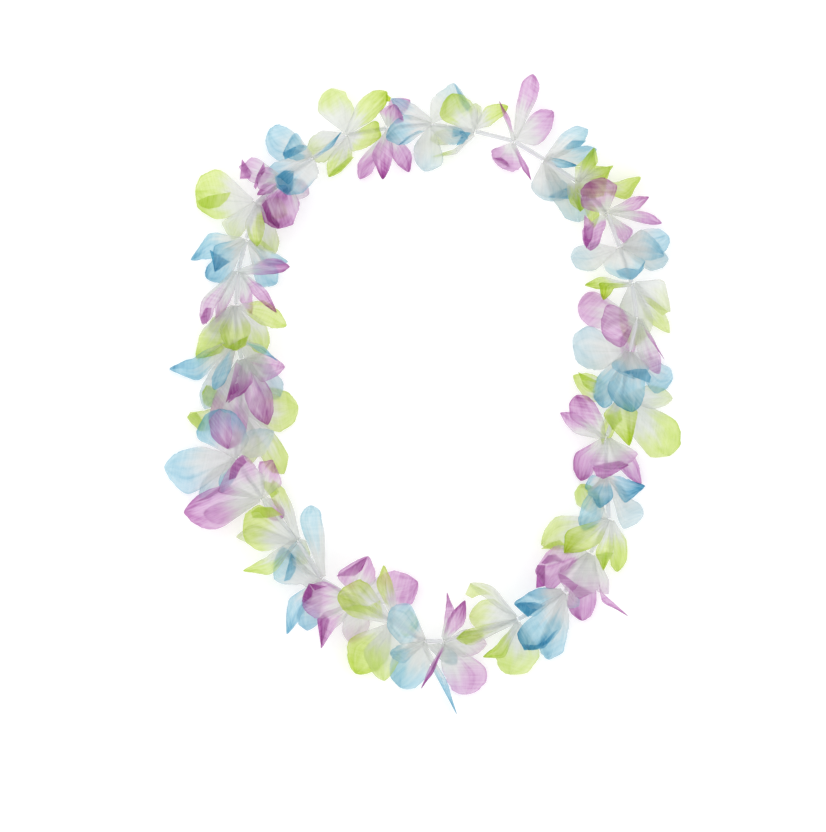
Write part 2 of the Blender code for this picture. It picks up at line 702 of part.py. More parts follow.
def tube(name, rings, closed=False):
    """Rings of points joined one to the next, capped at both ends or joined into a loop."""
    sides = len(rings[0])
    points = [point for ring in rings for point in ring]
    faces = []
    for near in range(len(rings) if closed else len(rings) - 1):
        far = (near + 1) % len(rings)
        for side in range(sides):
            turn = (side + 1) % sides
            faces.append((near * sides + side, near * sides + turn, far * sides + turn, far * sides + side))
    if not closed:
        faces.append(tuple(range(sides)))
        faces.append(tuple(range(len(points) - sides, len(points))))
    return mesh_object(name, points, faces)


def hub(name, place, direction):
    """The small disc at a bloom's middle, before the string's way is cut through it."""
    half = direction * HUB_LENGTH / 2
    return tube(name, [circle(place + end * half, direction, HUB_RADIUS, HUB_SIDES) for end in (-1, 1)])


def string_way(places, directions, number):
    """A cutter that clears a bloom's own fabric from the string and from the straws on either side of it."""
    place = places[number]
    legs = []
    for neighbour, sign in ((places[number - 1], -1), (places[(number + 1) % len(places)], 1)):
        along = unit(neighbour - place)
        start = place + along * (STRAW_END - STRAW_PLAY)
        end = neighbour - along * STRAW_END
        wide = STRAW_RADIUS + STRAW_PLAY
        stops = ((start, HUB_BORE), (start, wide), (end, wide))
        legs.append([circle(stop, along * sign, radius, STRAW_SIDES) for stop, radius in stops])
    middle = circle(place, directions[number], HUB_BORE, STRAW_SIDES)
    return tube("string_way", [*reversed(legs[0]), middle, *legs[1]])


def combined(base, others, operation):
    """The base with the other objects fused to it or cut from it in one step, and the others removed."""
    group = bpy.data.collections.new("others")
    bpy.context.scene.collection.children.link(group)
    for other in others:
        bpy.context.scene.collection.objects.unlink(other)
        group.objects.link(other)
    boolean = base.modifiers.new("combine", "BOOLEAN")
    boolean.operation = operation
    boolean.operand_type = "COLLECTION"
    boolean.collection = group
    boolean.solver = "MANIFOLD"
    with bpy.context.temp_override(object=base, active_object=base):
        bpy.ops.object.modifier_apply(modifier=boolean.name)
    for other in others:
        bpy.data.objects.remove(other)
    bpy.data.collections.remove(group)
    return base


def make_blooms(plans, heights, owners, places, directions):
    for number, (colour, _, _, _) in enumerate(BLOOMS):
        own = np.flatnonzero(owners == number)
        petals = [blade(f"petal_{petal}", plans[petal], heights[petal]) for petal in own]
        bloom = hub(f"bloom_{number + 1:02d}_{colour}", places[number], directions[number])
        combined(bloom, petals, "UNION")
        combined(bloom, [string_way(places, directions, number)], "DIFFERENCE")


def make_string(places, directions):
    """The string's loop, with a straw spacer fused on between each bloom and the next."""
    rings, straws = [], []
    for number, place in enumerate(places):
        after = places[(number + 1) % len(places)]
        along = unit(after - place)
        ends = [place + along * STRAW_END, after - along * STRAW_END]
        rings.append(circle(place, directions[number], STRING_RADIUS, STRING_SIDES))
        sleeve = [circle(end, along, STRAW_RADIUS, STRAW_SIDES) for end in ends]
        straws.append(tube(f"straw_{number}", sleeve))
    combined(tube("string_with_spacers", rings, closed=True), straws, "UNION")


def clear_scene():
    for thing in list(bpy.data.objects):
        bpy.data.objects.remove(thing)


def main():
    clear_scene()
    places = hub_places()
    directions = string_directions(places)
    plans, wishes, levels, owners, angles = petal_wishes(places, directions)
    ranks = stacking_ranks(plans, levels, owners, places)
    contacts = Contacts()
    add_petal_contacts(contacts, plans, ranks, owners)
    add_string_contacts(contacts, plans, levels, owners, angles, places, directions)
    heights = settled_heights(plans, wishes, contacts)
    make_blooms(plans, heights, owners, places, directions)
    make_string(places, directions)


main()
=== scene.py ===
"""Fabric flower lei on a white table, seen from straight above. Sizes are in millimetres until a mesh is
made. Petals are placed and settle as in part.py, so that each sheet of cloth lies where its solid does."""

import itertools
import math

import bmesh
import bpy
import numpy as np
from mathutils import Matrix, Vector
from mathutils.geometry import tessellate_polygon

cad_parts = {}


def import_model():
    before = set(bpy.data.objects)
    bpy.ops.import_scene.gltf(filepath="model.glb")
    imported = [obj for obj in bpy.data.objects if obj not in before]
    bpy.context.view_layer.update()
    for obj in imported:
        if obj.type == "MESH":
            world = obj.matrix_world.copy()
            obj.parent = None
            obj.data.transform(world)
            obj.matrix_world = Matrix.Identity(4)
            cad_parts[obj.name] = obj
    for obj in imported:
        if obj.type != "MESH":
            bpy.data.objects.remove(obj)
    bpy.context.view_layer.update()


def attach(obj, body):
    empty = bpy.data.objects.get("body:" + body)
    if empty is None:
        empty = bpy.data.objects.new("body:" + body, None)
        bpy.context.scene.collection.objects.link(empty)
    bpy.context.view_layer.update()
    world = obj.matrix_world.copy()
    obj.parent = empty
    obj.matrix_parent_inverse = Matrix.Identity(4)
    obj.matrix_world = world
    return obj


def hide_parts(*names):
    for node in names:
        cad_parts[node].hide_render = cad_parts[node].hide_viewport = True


METRE = 1000.0  # in millimetres
PHOTO_PIXEL = 0.71  # one photo pixel on the table
PHOTO_MIDDLE = (422.07, 394.46)  # the photo's pixel over the origin
PHOTO_SIZE = (826, 832)  # in pixels

FABRIC = 0.7  # thickness for which petals make room as they settle
PETAL_WIDTH = 32.0  # a petal pressed flat
NECK = 3.4  # width of a petal where it leaves the hub
ROOT_RADIUS = 2.4  # petals start inside the hub's disc
MIDWAY = 0.5  # of the way from root to shoulders
MIDWAY_WIDTH = 0.55  # of the shoulders' width
END_SIDE = 0.55  # of the way from shoulder to tip, where a petal's end bulges
END_MIDDLE = 0.62
ARCH = 0.12  # rise of a petal's middle for each millimetre that it looks narrower than it is
LEAST_ARCH = 0.5
RISING = (0.55, 0.9, 1.0)  # share of a petal's lift that its three rows have, where the tip is above the hub
FALLING = (0.75, 1.02, 1.0)  # and where it is below
LEANING = (0.4, 1.0, 0.6)  # share of its lean that they have

PETALS = 5  # of each bloom, evenly spaced round the hub
TURNS_TRIED = range(0, 360 // PETALS, 12)  # degrees by which a bloom may be turned round the string
ALONG_WEIGHT = 4  # a petal along the string leaves near its own way this much more strictly

STRING_HEIGHT = 14.0
STRING_SWAY = 1.2  # the string dips and rises this much
SWAY_STEP = 1.9  # radians from one hub to the next
STRING_RADIUS = 0.5
STRAW_RADIUS = 1.6
STRAW_WALL = 0.25
STRAW_END = 1.4  # from the middle of a hub to the straw beside it
STRAW_SIDES = 20
STRING_SIDES = 10
STRING_STEPS = 8  # rings of the string from one hub to the next
SQUARE_EDGE = math.radians(50)  # edges that turn more than this aren't shaded smooth
HUB_RADIUS = 3.3
COLLAR_RINGS = ((0.95, 0.5), (2.1, 0.0), (3.2, 0.35))  # radius and depth of the puckers, from the hole out
COLLAR_SIDES = 30
COLLAR_PUCKERS = 5

HUB_MARKS = (-1, -0.5, 0, 0.5, 1)  # places across a hub that petals keep off, in hub radii
STRING_MARKS = (-2, -1, 1, 2)  # beside a hub, in millimetres
STRAW_MARKS = (0.08, 0.92, 9)  # between two hubs: the first and last as shares of the way, and their number

RESTING = 0.36  # height of a blade's middle where it lies on the table
LYING = 4.5  # a petal with its tip below this lies down on the table
HIGHEST = 46.0
CLEARANCE = 0.4  # kept between stacked petals
OVERHANG = 0.9  # petals whose outlines come this near each other count as stacked
STEEPEST = 2.5  # most that a slope stretches the clearance over a petal
HOME = 22.0  # within this of its own hub a petal stays on its root's side of the string
RANK_STEP = 0.01  # a petal that has to lie over another ranks this much higher
TIE_STEP = 0.001  # of two tips at one height the later petal's is over the other
RANKING_ROUNDS = 6
SETTLING_ROUNDS = 900
SPRINGY_ROUNDS = 720  # in the last rounds petals only push
SLOPE_ROUNDS = 30  # after as many the slopes are measured again
OVERSHOOT = 1.3  # each push goes this much further than it needs to
STIFFNESS = 0.2  # share of a corner's shift that it takes from its neighbours
SPRING_BACK = 0.002  # share of its shift that a corner takes back in each round
NO_AREA = 1e-6  # square millimetres, less than any real triangle has
PARALLEL = 1e-9  # two edges whose vectors span no more than this don't cross
TINY = 1e-6  # keeps a division by nothing from failing

# Finer cloth than the solids have
ROWS_ALONG = 29
COLUMNS_ACROSS = 37
FLAP_LIFT = 0.45  # a folded-over flap above its petal
FLAP_CUTS = 2  # across each of a flap's edges, so that it can follow its petal
INWARD_STEPS = np.linspace(0, 1, 41)  # shares of the way from past a petal's edge to its middle
FLAP_DYE_LEAD = 0.2  # a flap is dyed as the petal is this share of its length nearer the tip
FLAP_LEVEL_LEAD = {"purple": 2, "blue": 2, "green": 1}  # and deeper by this many levels
GATHER = 0.3  # near the neck the cloth spreads by this share more than a straight taper
PLEAT = 0.22  # height of the long pleats
PLEATS_ACROSS = 9.0  # how fast they follow each other, in radians for half a petal's width
FLUTTER = 0.7  # height of the waves at a petal's end
FLUTTER_ACROSS = 3.1  # radians for half a width
FLUTTER_ALONG = 4.0  # radians for the petal's length
EDGE_KNOTS = 12  # places along an edge where it may turn
EDGE_WANDER = 0.06  # a cut edge wanders by this share of the petal's half width
FRAY = 0.022  # and is frayed by this share
THREAD_STEP = math.radians(360 / PETALS)  # from petal to petal, because a bloom is cut from one piece
CORNERED = (0.05, 0.6)  # least and most share of straight edge in a petal's outline
EDGE_SPARE = 0.25  # the more straight its edges, the wider a petal is, by this share at most
CREASES = 3  # long sharp creases on each petal
CREASE_DEPTH = 0.4
CREASE_STRENGTHS = (0.3, 1.0)  # shares of that depth
CREASE_SPREAD = 0.85  # they leave the neck within this of the middle line, in half widths of the petal
CREASE_WIDTH = 0.055  # in half widths
CREASE_SLANT = 0.12  # how far they mostly drift aside on their way to the tip
CREASE_ENDS = (0.3, 1.0)  # shares of the length at which a crease may end
CREASE_FADE = 0.18  # share of the length over which it fades out
FOLDS = 2  # sharp folds that turn a part of the petal's end up or down
FOLD_SLOPE = 0.3  # rise for each millimetre past the fold
FOLD_TURN = 1.2  # most that a fold turns from straight across, in radians
FOLD_STARTS = (0.5, 0.85)  # shares of the length
FOLD_ASIDE = 0.3  # a fold crosses the middle line this near to there, in half widths
FOLD_REACH = 0.8  # what lies further past a fold than this, in half widths, goes no higher
FOLD_EDGE = 0.5  # millimetres over which the shade begins
LENGTH_TO_HALF_WIDTH = 1.6  # half widths in a petal's length, for the way that folds run

# How shapes shade the cloth: shade painted into the dye on slopes, in creases, in folds and at curled rims,
# partly as more or fewer layers of it for the light to pass
FOLD_SHADE = 0.32  # of a crease's shade
FOLD_STRENGTHS = (0.2, 1.0)  # shares of that shade
CREASE_SHADE = 0.6
RIM_SHADES = (0.1, 0.7)  # painted shade at the two edges, one of which curls, partly as doubled cloth
RIM_WIDTH = 0.08  # in half widths
SLOPE_SHADE = 0.35  # power of the doubling, which is how much more cloth the light passes on a slope, for the shade painted on slopes
LEAST_LEVEL = 0.35  # steeper cloth than this counts as this steep: the share of it seen from above

# Where the dye has run, in shares of a petal's length
DYE_SIDE = 0.08  # further along one side than along the other
SIDE_TURN = 7.0  # radians from one petal to the next, so that the sides vary
DYE_STREAKS = ((0.06, 4.3, 1), (0.04, 13.0, 2))  # depth, radians for half a width, radians for a petal
DYE_END = 1.02  # the dye is full here, just past the tip

# The cloth's looks
SHEERNESS = 0.62  # share of the light that goes straight on through
THROUGH_LIGHT = 0.45  # share of the scattered light that comes from behind the cloth
FABRIC_LOOKS = {"Roughness": 0.62, "Sheen Weight": 0.15, "Specular IOR Level": 0.25}
VEIN_SPREAD = 16.0  # veins are as far apart as on a petal of this half width
VEIN_SHIFT = 100  # millimetres of pattern between one petal's veins and the next one's
VEIN_KINDS = 7  # after as many petals the shift starts again
VEIN_SCALE = (4.0, 0.06, 1.0)  # spots of noise in a millimetre, across a petal and along it
VEIN_DEPTHS = {"purple": (0.88, 1.16), "blue": (0.91, 1.1), "green": (0.92, 1.1)}  # powers of the dye
CRINKLE_SCALE = (0.65, 0.045, 1.0)  # the same across and along the threads of a petal
CRINKLE_DEPTHS = {"purple": (0.8, 1.3), "blue": (0.86, 1.18), "green": (0.88, 1.18)}
WRINKLE_SCALE = (0.8, 0.04, 1.0)  # painted shade of sparse sharp wrinkles along a petal
WRINKLE_MIDDLE = 0.5  # of the noise that they follow
WRINKLE_WIDTH = 0.02
WRINKLE_DEPTHS = (1.32, 0.98)  # in the middle of a wrinkle and beside it
BLOTCH_SCALE = 0.12
BLOTCH_DEPTHS = (0.85, 1.15)
NOISE_SPREAD = (0.34, 0.66)  # between these lies nearly all of a noise
WEAVE_SCALE = 3.0
WEAVE_RELIEF = 0.0004  # metres
WEAVE_STRENGTH = 0.35

# The straws' and the string's looks: colour, roughness, and the share of light that goes straight through
STRAW_LOOKS = ((0.95, 0.955, 0.96), 0.35, 0.72)
STRING_LOOKS = ((0.93, 0.93, 0.93), 0.8, 0.0)
ROUGHNESS_PLAY = 0.08  # either way, in spots
PLASTIC_SPOTS = 400.0  # in a metre

# The table, the light and the camera, in metres
WHITE = (1.0, 1.0, 1.0, 1.0)
FLOOR_REACH = 6.0
FLOOR_COLOUR = (0.9, 0.9, 0.9, 1.0)
FLOOR_SPOTS = 30.0  # in a metre
FLOOR_ROUGHNESS = (0.85, 0.95)
FLOOR_SHINE = 0.1
FLOOR_GLOW = 0.22  # keeps the table white in the lei's shade
ROOM_LIGHT = 1.0
SOFTBOX_WATTS = 2.0
SOFTBOX_SIZE = 1.2
SOFTBOX_PLACE = (-0.7, 0.9, 1.6)
CAMERA_DISTANCE = 8.0
SENSOR_WIDTH = 36.0  # millimetres
SHEETS_SEEN_THROUGH = 24
LIGHT_BOUNCES = 16

COLOURS = ("purple", "blue", "green")  # of the blooms, which take turns

# Dyes, as light that passes through one layer of cloth on white: at the neck, halfway and at the tip
UNDYED = (0.87, 0.878, 0.868)
DYES = {
    "purple": ((0.82, 0.62, 0.81), (0.53, 0.19, 0.49)),
    "blue": ((0.59, 0.79, 0.87), (0.18, 0.48, 0.65)),
    "green": ((0.80, 0.88, 0.47), (0.57, 0.72, 0.09)),
}
DYE_RUNS = (  # by level: where the dye starts and is half deep, then its share there and at the tip
    (0.45, 0.98, 0.45, 0.0),
    (0.42, 0.85, 0.85, 0.12),
    (0.38, 0.74, 1.0, 0.4),
    (0.28, 0.60, 1.0, 0.7),
    (0.12, 0.48, 1.0, 1.0),
)

# The dye level of each bloom's five petals, from nearly white to deep
DYE_LEVELS = (
    "22314", "11400", "22222", "32321", "01101", "34010", "12311", "01123", "24102", "32312",
    "34022", "11423", "20230", "32310", "01131", "43410", "11310", "22310", "23220", "11310",
    "12020", "31222", "12030", "12110", "22320", "22200", "22210", "33211", "33211", "20200",
    "11330", "12124", "13320", "24322", "12001", "20310",
)

# Cloth folded back over a petal: bloom, petal and the photo pixels of the flap's corners
FLAPS = (
    (1, 4, ((493, 158), (501, 157), (507, 161), (511, 168), (500, 162))),
    (2, 1, ((562, 149), (572, 141), (586, 141), (580, 147), (568, 150))),
    (2, 4, ((548, 197), (558, 191), (569, 187), (571, 199))),
    (3, 1, ((593, 149), (596, 166), (575, 167), (583, 160))),
    (3, 2, ((575, 167), (596, 166), (611, 167), (607, 180), (604, 196), (590, 199), (580, 194), (575, 191))),
    (3, 4, ((567, 186), (575, 185), (580, 193), (585, 208), (580, 212), (572, 198))),
    (4, 2, ((584, 215), (594, 224), (592, 238), (586, 249), (583, 240))),
    (5, 5, ((615, 271), (625, 268), (638, 270), (645, 261), (641, 272), (632, 280), (620, 277))),
    (6, 3, ((638, 291), (650, 298), (668, 312), (662, 316), (648, 304))),
    (8, 2, ((622, 372), (635, 369), (646, 369), (651, 377), (649, 383), (636, 378))),
    (9, 1, ((578, 372), (597, 381), (592, 392), (584, 386))),
    (9, 2, ((606, 416), (620, 410), (622, 420), (612, 430))),
    (10, 4, ((592, 467), (604, 463), (620, 461), (629, 465), (612, 475), (603, 479), (596, 476))),
    (12, 2, ((541, 549), (550, 543), (560, 540), (566, 546), (550, 549))),
    (12, 4, ((596, 555), (604, 553), (614, 553), (608, 560), (603, 571), (602, 562))),
    (13, 1, ((537, 565), (545, 565), (545, 586), (536, 588))),
    (13, 1, ((541, 563), (548, 555), (555, 554), (565, 563), (555, 561), (545, 564))),
    (13, 2, ((557, 572), (566, 576), (575, 583), (592, 592), (579, 599), (570, 589), (560, 581))),
    (14, 1, ((514, 604), (520, 602), (535, 602), (545, 605), (533, 612), (528, 617), (520, 610))),
    (14, 3, ((521, 644), (536, 645), (546, 640), (553, 632), (558, 629), (548, 643), (536, 649), (524, 650))),
    (15, 1, ((470, 583), (485, 590), (494, 597), (488, 594), (478, 595), (472, 598), (465, 594))),
    (15, 3, ((457, 637), (463, 631), (483, 629), (484, 637), (466, 644))),
    (18, 1, ((342, 609), (355, 604), (368, 606), (380, 600), (384, 619), (372, 617), (360, 612))),
    (19, 1, ((309, 583), (313, 590), (312, 596), (304, 603), (303, 597))),
    (19, 1, ((309, 583), (327, 586), (315, 590))),
    (19, 2, ((317, 619), (324, 614), (330, 620), (326, 632), (321, 646))),
    (19, 3, ((336, 576), (352, 566), (368, 556), (362, 570), (354, 576))),
    (20, 2, ((291, 553), (296, 560), (296, 570), (290, 580), (284, 581))),
    (21, 1, ((262, 480), (274, 484), (280, 492), (272, 498), (264, 488))),
    (21, 2, ((251, 512), (258, 507), (272, 507), (283, 515), (266, 518), (253, 518))),
    (22, 1, ((196, 502), (205, 497), (220, 487), (221, 491), (208, 499))),
    (22, 2, ((229, 480), (231, 468), (237, 459), (243, 456), (247, 462), (241, 468), (236, 478))),
    (24, 1, ((187, 418), (190, 412), (196, 412), (205, 424), (203, 431), (199, 431))),
    (25, 1, ((236, 362), (243, 367), (252, 382), (246, 392), (240, 396), (229, 400), (226, 403), (232, 380))),
    (27, 2, ((221, 343), (230, 346), (240, 340), (249, 336), (246, 346), (237, 351), (226, 348))),
    (28, 5, ((201, 318), (206, 308), (212, 308), (211, 316), (207, 324), (202, 323))),
    (29, 2, ((210, 250), (215, 272), (230, 262))),
    (30, 1, ((197, 201), (208, 196), (220, 194), (231, 192), (227, 200), (219, 207), (208, 209), (200, 206))),
    (30, 4, ((252, 242), (262, 240), (274, 250), (265, 251), (257, 248))),
    (31, 1, ((242, 159), (252, 173), (250, 179), (240, 179))),
    (31, 2, ((264, 163), (266, 171), (261, 178), (256, 190), (254, 187), (257, 176))),
    (31, 4, ((262, 205), (266, 200), (272, 215), (280, 224), (279, 229), (268, 221))),
    (32, 2, ((283, 153), (300, 145), (308, 146), (306, 150), (295, 156), (285, 160))),
    (32, 4, ((276, 178), (284, 171), (294, 171), (293, 190), (288, 195), (280, 190))),
    (33, 2, ((386, 94), (391, 98), (390, 102), (386, 102))),
    (33, 4, ((328, 177), (333, 170), (350, 156), (354, 157), (341, 170))),
    (35, 2, ((398, 146), (406, 138), (418, 131), (425, 131), (414, 136), (404, 143))),
    (35, 4, ((454, 82), (462, 94), (471, 106), (468, 112), (460, 102))),
    (35, 5, ((453, 129), (465, 132), (471, 133), (463, 144), (456, 146), (462, 135), (452, 138))),
)

# Each bloom: the photo pixel of its hub, and its petals. Each petal: photo pixels of its left shoulder,
# its tip and its right shoulder, then its tip's height and how much its right side stands over its left,
# both in millimetres, and how far its end bulges, in hundredths of the way from shoulder to tip.
BLOOMS = (
    (514, 141, (
        (519, 97, 533, 74, 537, 95, 18, 5, 18),
        (538, 111, 554, 112, 541, 142, 12, -3, 12),
        (503, 116, 499, 102, 509, 118, 33, 9, 0),
        (492, 153, 504, 169, 520, 168, 1, 2, 14),
        (523, 170, 531, 181, 528, 168, 22, 8, 0),
    )),
    (545, 160, (
        (565, 132, 588, 130, 574, 148, 27, -5, 16),
        (577, 147, 597, 149, 577, 164, 14, 4, 12),
        (562, 160, 577, 166, 560, 168, 22, 8, 4),
        (534, 191, 551, 201, 571, 192, 4, 2, 12),
        (557, 203, 579, 222, 592, 202, 1, -1, 16),
    )),
    (578, 182, (
        (583, 162, 594, 148, 597, 163, 30, -5, 6),
        (598, 168, 613, 166, 604, 179, 21, 4, 0),
        (615, 182, 641, 177, 627, 199, 10, -5, 4),
        (567, 187, 570, 203, 580, 210, 24, 4, 4),
        (586, 211, 594, 228, 599, 213, 19, 3, 6),
    )),
    (607, 213, (
        (582, 204, 589, 182, 614, 186, 34, 4, 20),
        (583, 230, 590, 251, 602, 232, 20, 5, 16),
        (634, 197, 649, 197, 638, 209, 15, -5, 4),
        (646, 212, 662, 223, 648, 224, 8, 6, 8),
        (617, 233, 625, 243, 633, 230, 1, 2, 8),
    )),
    (620, 248, (
        (587, 244, 571, 257, 590, 271, 3, 2, 20),
        (648, 229, 669, 236, 664, 251, 14, 5, 14),
        (643, 231, 664, 255, 648, 259, 21, -4, 10),
        (655, 250, 669, 259, 651, 270, 5, 3, 18),
        (604, 268, 630, 280, 644, 264, 28, -4, 12),
    )),
    (632, 284, (
        (601, 277, 585, 285, 602, 289, 10, -3, 4),
        (600, 283, 603, 300, 614, 288, 24, 6, 8),
        (663, 282, 670, 312, 649, 304, 29, -6, 4),
        (662, 308, 670, 333, 649, 320, 6, 5, 8),
        (620, 318, 634, 346, 653, 322, 11, 3, 14),
    )),
    (637, 319, (
        (592, 292, 578, 307, 592, 326, 6, 3, 16),
        (607, 307, 601, 333, 619, 346, 22, -4, 10),
        (651, 336, 664, 360, 648, 338, 30, 9, 0),
        (639, 355, 659, 374, 657, 349, 16, -4, 12),
        (621, 341, 627, 360, 637, 341, 3, 2, 14),
    )),
    (630, 352, (
        (586, 327, 573, 346, 592, 369, 3, 3, 20),
        (612, 367, 634, 379, 648, 370, 28, -4, 6),
        (663, 364, 673, 379, 655, 392, 9, 3, 18),
        (595, 382, 603, 408, 614, 393, 18, 4, 20),
        (608, 389, 632, 412, 643, 391, 20, -3, 16),
    )),
    (622, 396, (
        (588, 374, 573, 376, 588, 400, 14, -5, 8),
        (605, 416, 629, 446, 636, 416, 25, 5, 4),
        (638, 440, 670, 456, 677, 424, 3, 3, 22),
        (652, 386, 673, 398, 654, 408, 4, 2, 14),
        (603, 424, 603, 445, 615, 430, 6, -3, 10),
    )),
    (606, 438, (
        (571, 417, 576, 395, 598, 411, 29, -4, 20),
        (574, 413, 560, 413, 574, 432, 16, 5, 6),
        (576, 455, 581, 481, 596, 463, 5, 3, 18),
        (592, 465, 612, 470, 636, 456, 25, -3, 8),
        (620, 468, 641, 485, 637, 461, 11, 5, 6),
    )),
    (606, 477, (
        (588, 493, 599, 508, 611, 498, 33, 3, 6),
        (626, 480, 645, 486, 625, 502, 23, -5, 4),
        (629, 498, 644, 514, 623, 527, 5, 3, 16),
        (581, 508, 583, 530, 601, 517, 19, -4, 16),
        (590, 477, 585, 488, 594, 493, 12, 3, 6),
    )),
    (609, 520, (
        (577, 503, 581, 484, 598, 495, 10, 4, 16),
        (556, 519, 541, 545, 568, 547, 6, 3, 12),
        (567, 532, 564, 553, 594, 546, 26, -5, 6),
        (610, 556, 618, 572, 627, 545, 9, -4, 16),
        (596, 553, 603, 570, 612, 552, 20, 4, 2),
    )),
    (590, 554, (
        (551, 549, 535, 571, 550, 588, 17, -3, 6),
        (558, 574, 574, 596, 597, 588, 28, 4, 10),
        (568, 603, 582, 621, 595, 607, 3, 3, 16),
        (602, 592, 628, 616, 602, 601, 22, 8, 0),
        (602, 566, 609, 594, 598, 590, 7, 3, 10),
    )),
    (564, 593, (
        (534, 590, 514, 603, 532, 616, 29, 4, 4),
        (543, 588, 527, 594, 540, 600, 18, -3, 6),
        (518, 631, 529, 650, 555, 635, 24, -4, 16),
        (541, 642, 549, 660, 567, 634, 5, 3, 20),
        (577, 594, 579, 606, 569, 608, 8, 2, 12),
    )),
    (517, 620, (
        (493, 587, 470, 583, 485, 597, 30, 5, 10),
        (487, 599, 469, 616, 484, 632, 19, -3, 14),
        (478, 627, 456, 638, 472, 644, 27, 3, 12),
        (497, 645, 483, 657, 504, 657, 20, -4, 4),
        (497, 658, 510, 675, 538, 657, 4, 3, 18),
    )),
    (444, 641, (
        (450, 616, 465, 600, 464, 622, 30, -6, 6),
        (446, 610, 447, 592, 454, 610, 22, 6, 0),
        (428, 670, 421, 688, 433, 672, 22, 8, 0),
        (447, 678, 466, 695, 486, 672, 5, 3, 20),
        (467, 630, 487, 644, 465, 656, 10, 3, 14),
    )),
    (424, 641, (
        (408, 604, 389, 611, 397, 638, 29, -3, 18),
        (392, 661, 400, 688, 426, 676, 13, 4, 20),
        (436, 676, 457, 715, 446, 680, 6, 5, 0),
        (401, 645, 390, 653, 402, 663, 20, 2, 12),
        (444, 662, 457, 664, 452, 649, 4, -2, 14),
    )),
    (393, 622, (
        (362, 581, 338, 594, 346, 611, 30, 4, 14),
        (377, 584, 384, 565, 394, 590, 21, -5, 4),
        (349, 643, 356, 674, 382, 664, 5, 3, 14),
        (364, 653, 384, 681, 401, 648, 16, -3, 12),
        (409, 611, 418, 625, 406, 636, 6, 3, 14),
    )),
    (356, 600, (
        (318, 582, 302, 601, 318, 617, 28, -3, 18),
        (321, 616, 321, 648, 335, 628, 21, 5, 0),
        (339, 573, 368, 556, 375, 576, 12, 5, 6),
        (393, 572, 418, 582, 411, 603, 6, -3, 8),
        (343, 624, 350, 643, 369, 626, 3, 2, 18),
    )),
    (321, 579, (
        (301, 521, 311, 505, 322, 521, 19, 4, 18),
        (283, 548, 274, 579, 300, 583, 12, -3, 12),
        (289, 601, 287, 634, 303, 613, 22, 5, 4),
        (298, 614, 307, 631, 319, 613, 3, 2, 20),
        (299, 542, 287, 552, 297, 567, 5, 3, 14),
    )),
    (297, 540, (
        (271, 496, 273, 480, 290, 502, 20, -4, 10),
        (260, 506, 243, 530, 257, 547, 25, 3, 18),
        (252, 525, 236, 537, 252, 543, 7, 3, 6),
        (267, 557, 243, 571, 271, 574, 18, 5, 2),
        (306, 544, 308, 562, 297, 563, 4, 2, 14),
    )),
    (262, 498, (
        (219, 487, 184, 512, 213, 528, 22, -3, 12),
        (220, 490, 242, 455, 258, 471, 29, 4, 8),
        (260, 463, 273, 460, 281, 481, 20, -5, 2),
        (222, 503, 203, 514, 222, 524, 10, 3, 12),
        (278, 504, 284, 517, 270, 519, 5, 2, 16),
    )),
    (236, 458, (
        (187, 450, 164, 467, 188, 492, 7, 3, 12),
        (198, 434, 220, 409, 246, 432, 18, -3, 20),
        (249, 431, 274, 431, 265, 453, 12, 4, 8),
        (219, 480, 222, 493, 235, 478, 16, 3, 6),
        (207, 476, 199, 498, 222, 489, 1, 2, 12),
    )),
    (240, 410, (
        (204, 411, 187, 417, 204, 431, 7, 5, 10),
        (208, 386, 202, 397, 212, 408, 2, 2, 18),
        (272, 389, 298, 406, 281, 430, 5, 3, 16),
        (278, 440, 284, 474, 264, 462, 3, -2, 18),
        (242, 438, 251, 464, 259, 440, 2, 1, 16),
    )),
    (242, 360, (
        (231, 390, 229, 403, 252, 383, 30, 6, 2),
        (265, 355, 285, 367, 264, 381, 17, -4, 10),
        (272, 396, 268, 425, 248, 405, 13, 4, 10),
        (211, 415, 228, 449, 246, 425, 22, -3, 20),
        (217, 391, 214, 409, 230, 396, 8, 3, 14),
    )),
    (237, 340, (
        (194, 358, 169, 369, 198, 380, 12, -5, 4),
        (213, 376, 215, 390, 229, 374, 25, 5, 14),
        (263, 346, 278, 361, 262, 353, 24, 7, 0),
        (205, 380, 204, 409, 223, 388, 4, 2, 16),
        (273, 369, 280, 397, 260, 392, 2, 3, 20),
    )),
    (236, 306, (
        (201, 334, 196, 358, 222, 351, 10, -3, 6),
        (221, 333, 234, 351, 250, 331, 27, 4, 12),
        (268, 303, 287, 326, 266, 326, 14, -4, 12),
        (267, 328, 264, 355, 249, 343, 4, 3, 12),
        (216, 315, 209, 330, 224, 333, 3, 2, 14),
    )),
    (238, 272, (
        (269, 259, 290, 267, 268, 274, 27, -4, 12),
        (256, 297, 277, 313, 266, 290, 19, 6, 4),
        (240, 300, 252, 315, 252, 293, 12, 6, 2),
        (216, 304, 216, 323, 231, 298, 5, -3, 4),
        (203, 300, 203, 325, 217, 305, 20, 4, 12),
    )),
    (246, 240, (
        (209, 235, 191, 260, 213, 258, 15, -4, 2),
        (215, 247, 215, 272, 232, 260, 24, 5, 2),
        (210, 262, 206, 278, 226, 280, 5, 3, 16),
        (267, 250, 288, 262, 266, 265, 20, -5, 6),
        (271, 262, 277, 283, 258, 284, 6, 3, 16),
    )),
    (256, 203, (
        (215, 171, 195, 192, 214, 217, 12, -3, 20),
        (223, 222, 233, 240, 247, 225, 2, 2, 10),
        (246, 225, 257, 247, 264, 230, 20, 5, 10),
        (258, 232, 274, 254, 276, 229, 4, 3, 16),
        (277, 198, 287, 214, 272, 218, 3, -2, 14),
    )),
    (284, 180, (
        (253, 158, 239, 167, 252, 182, 20, 4, 2),
        (266, 168, 257, 176, 259, 189, 29, -5, 6),
        (264, 184, 257, 195, 268, 194, 24, 3, 6),
        (262, 206, 278, 229, 298, 207, 15, -3, 22),
        (302, 180, 309, 194, 296, 198, 3, 2, 14),
    )),
    (313, 158, (
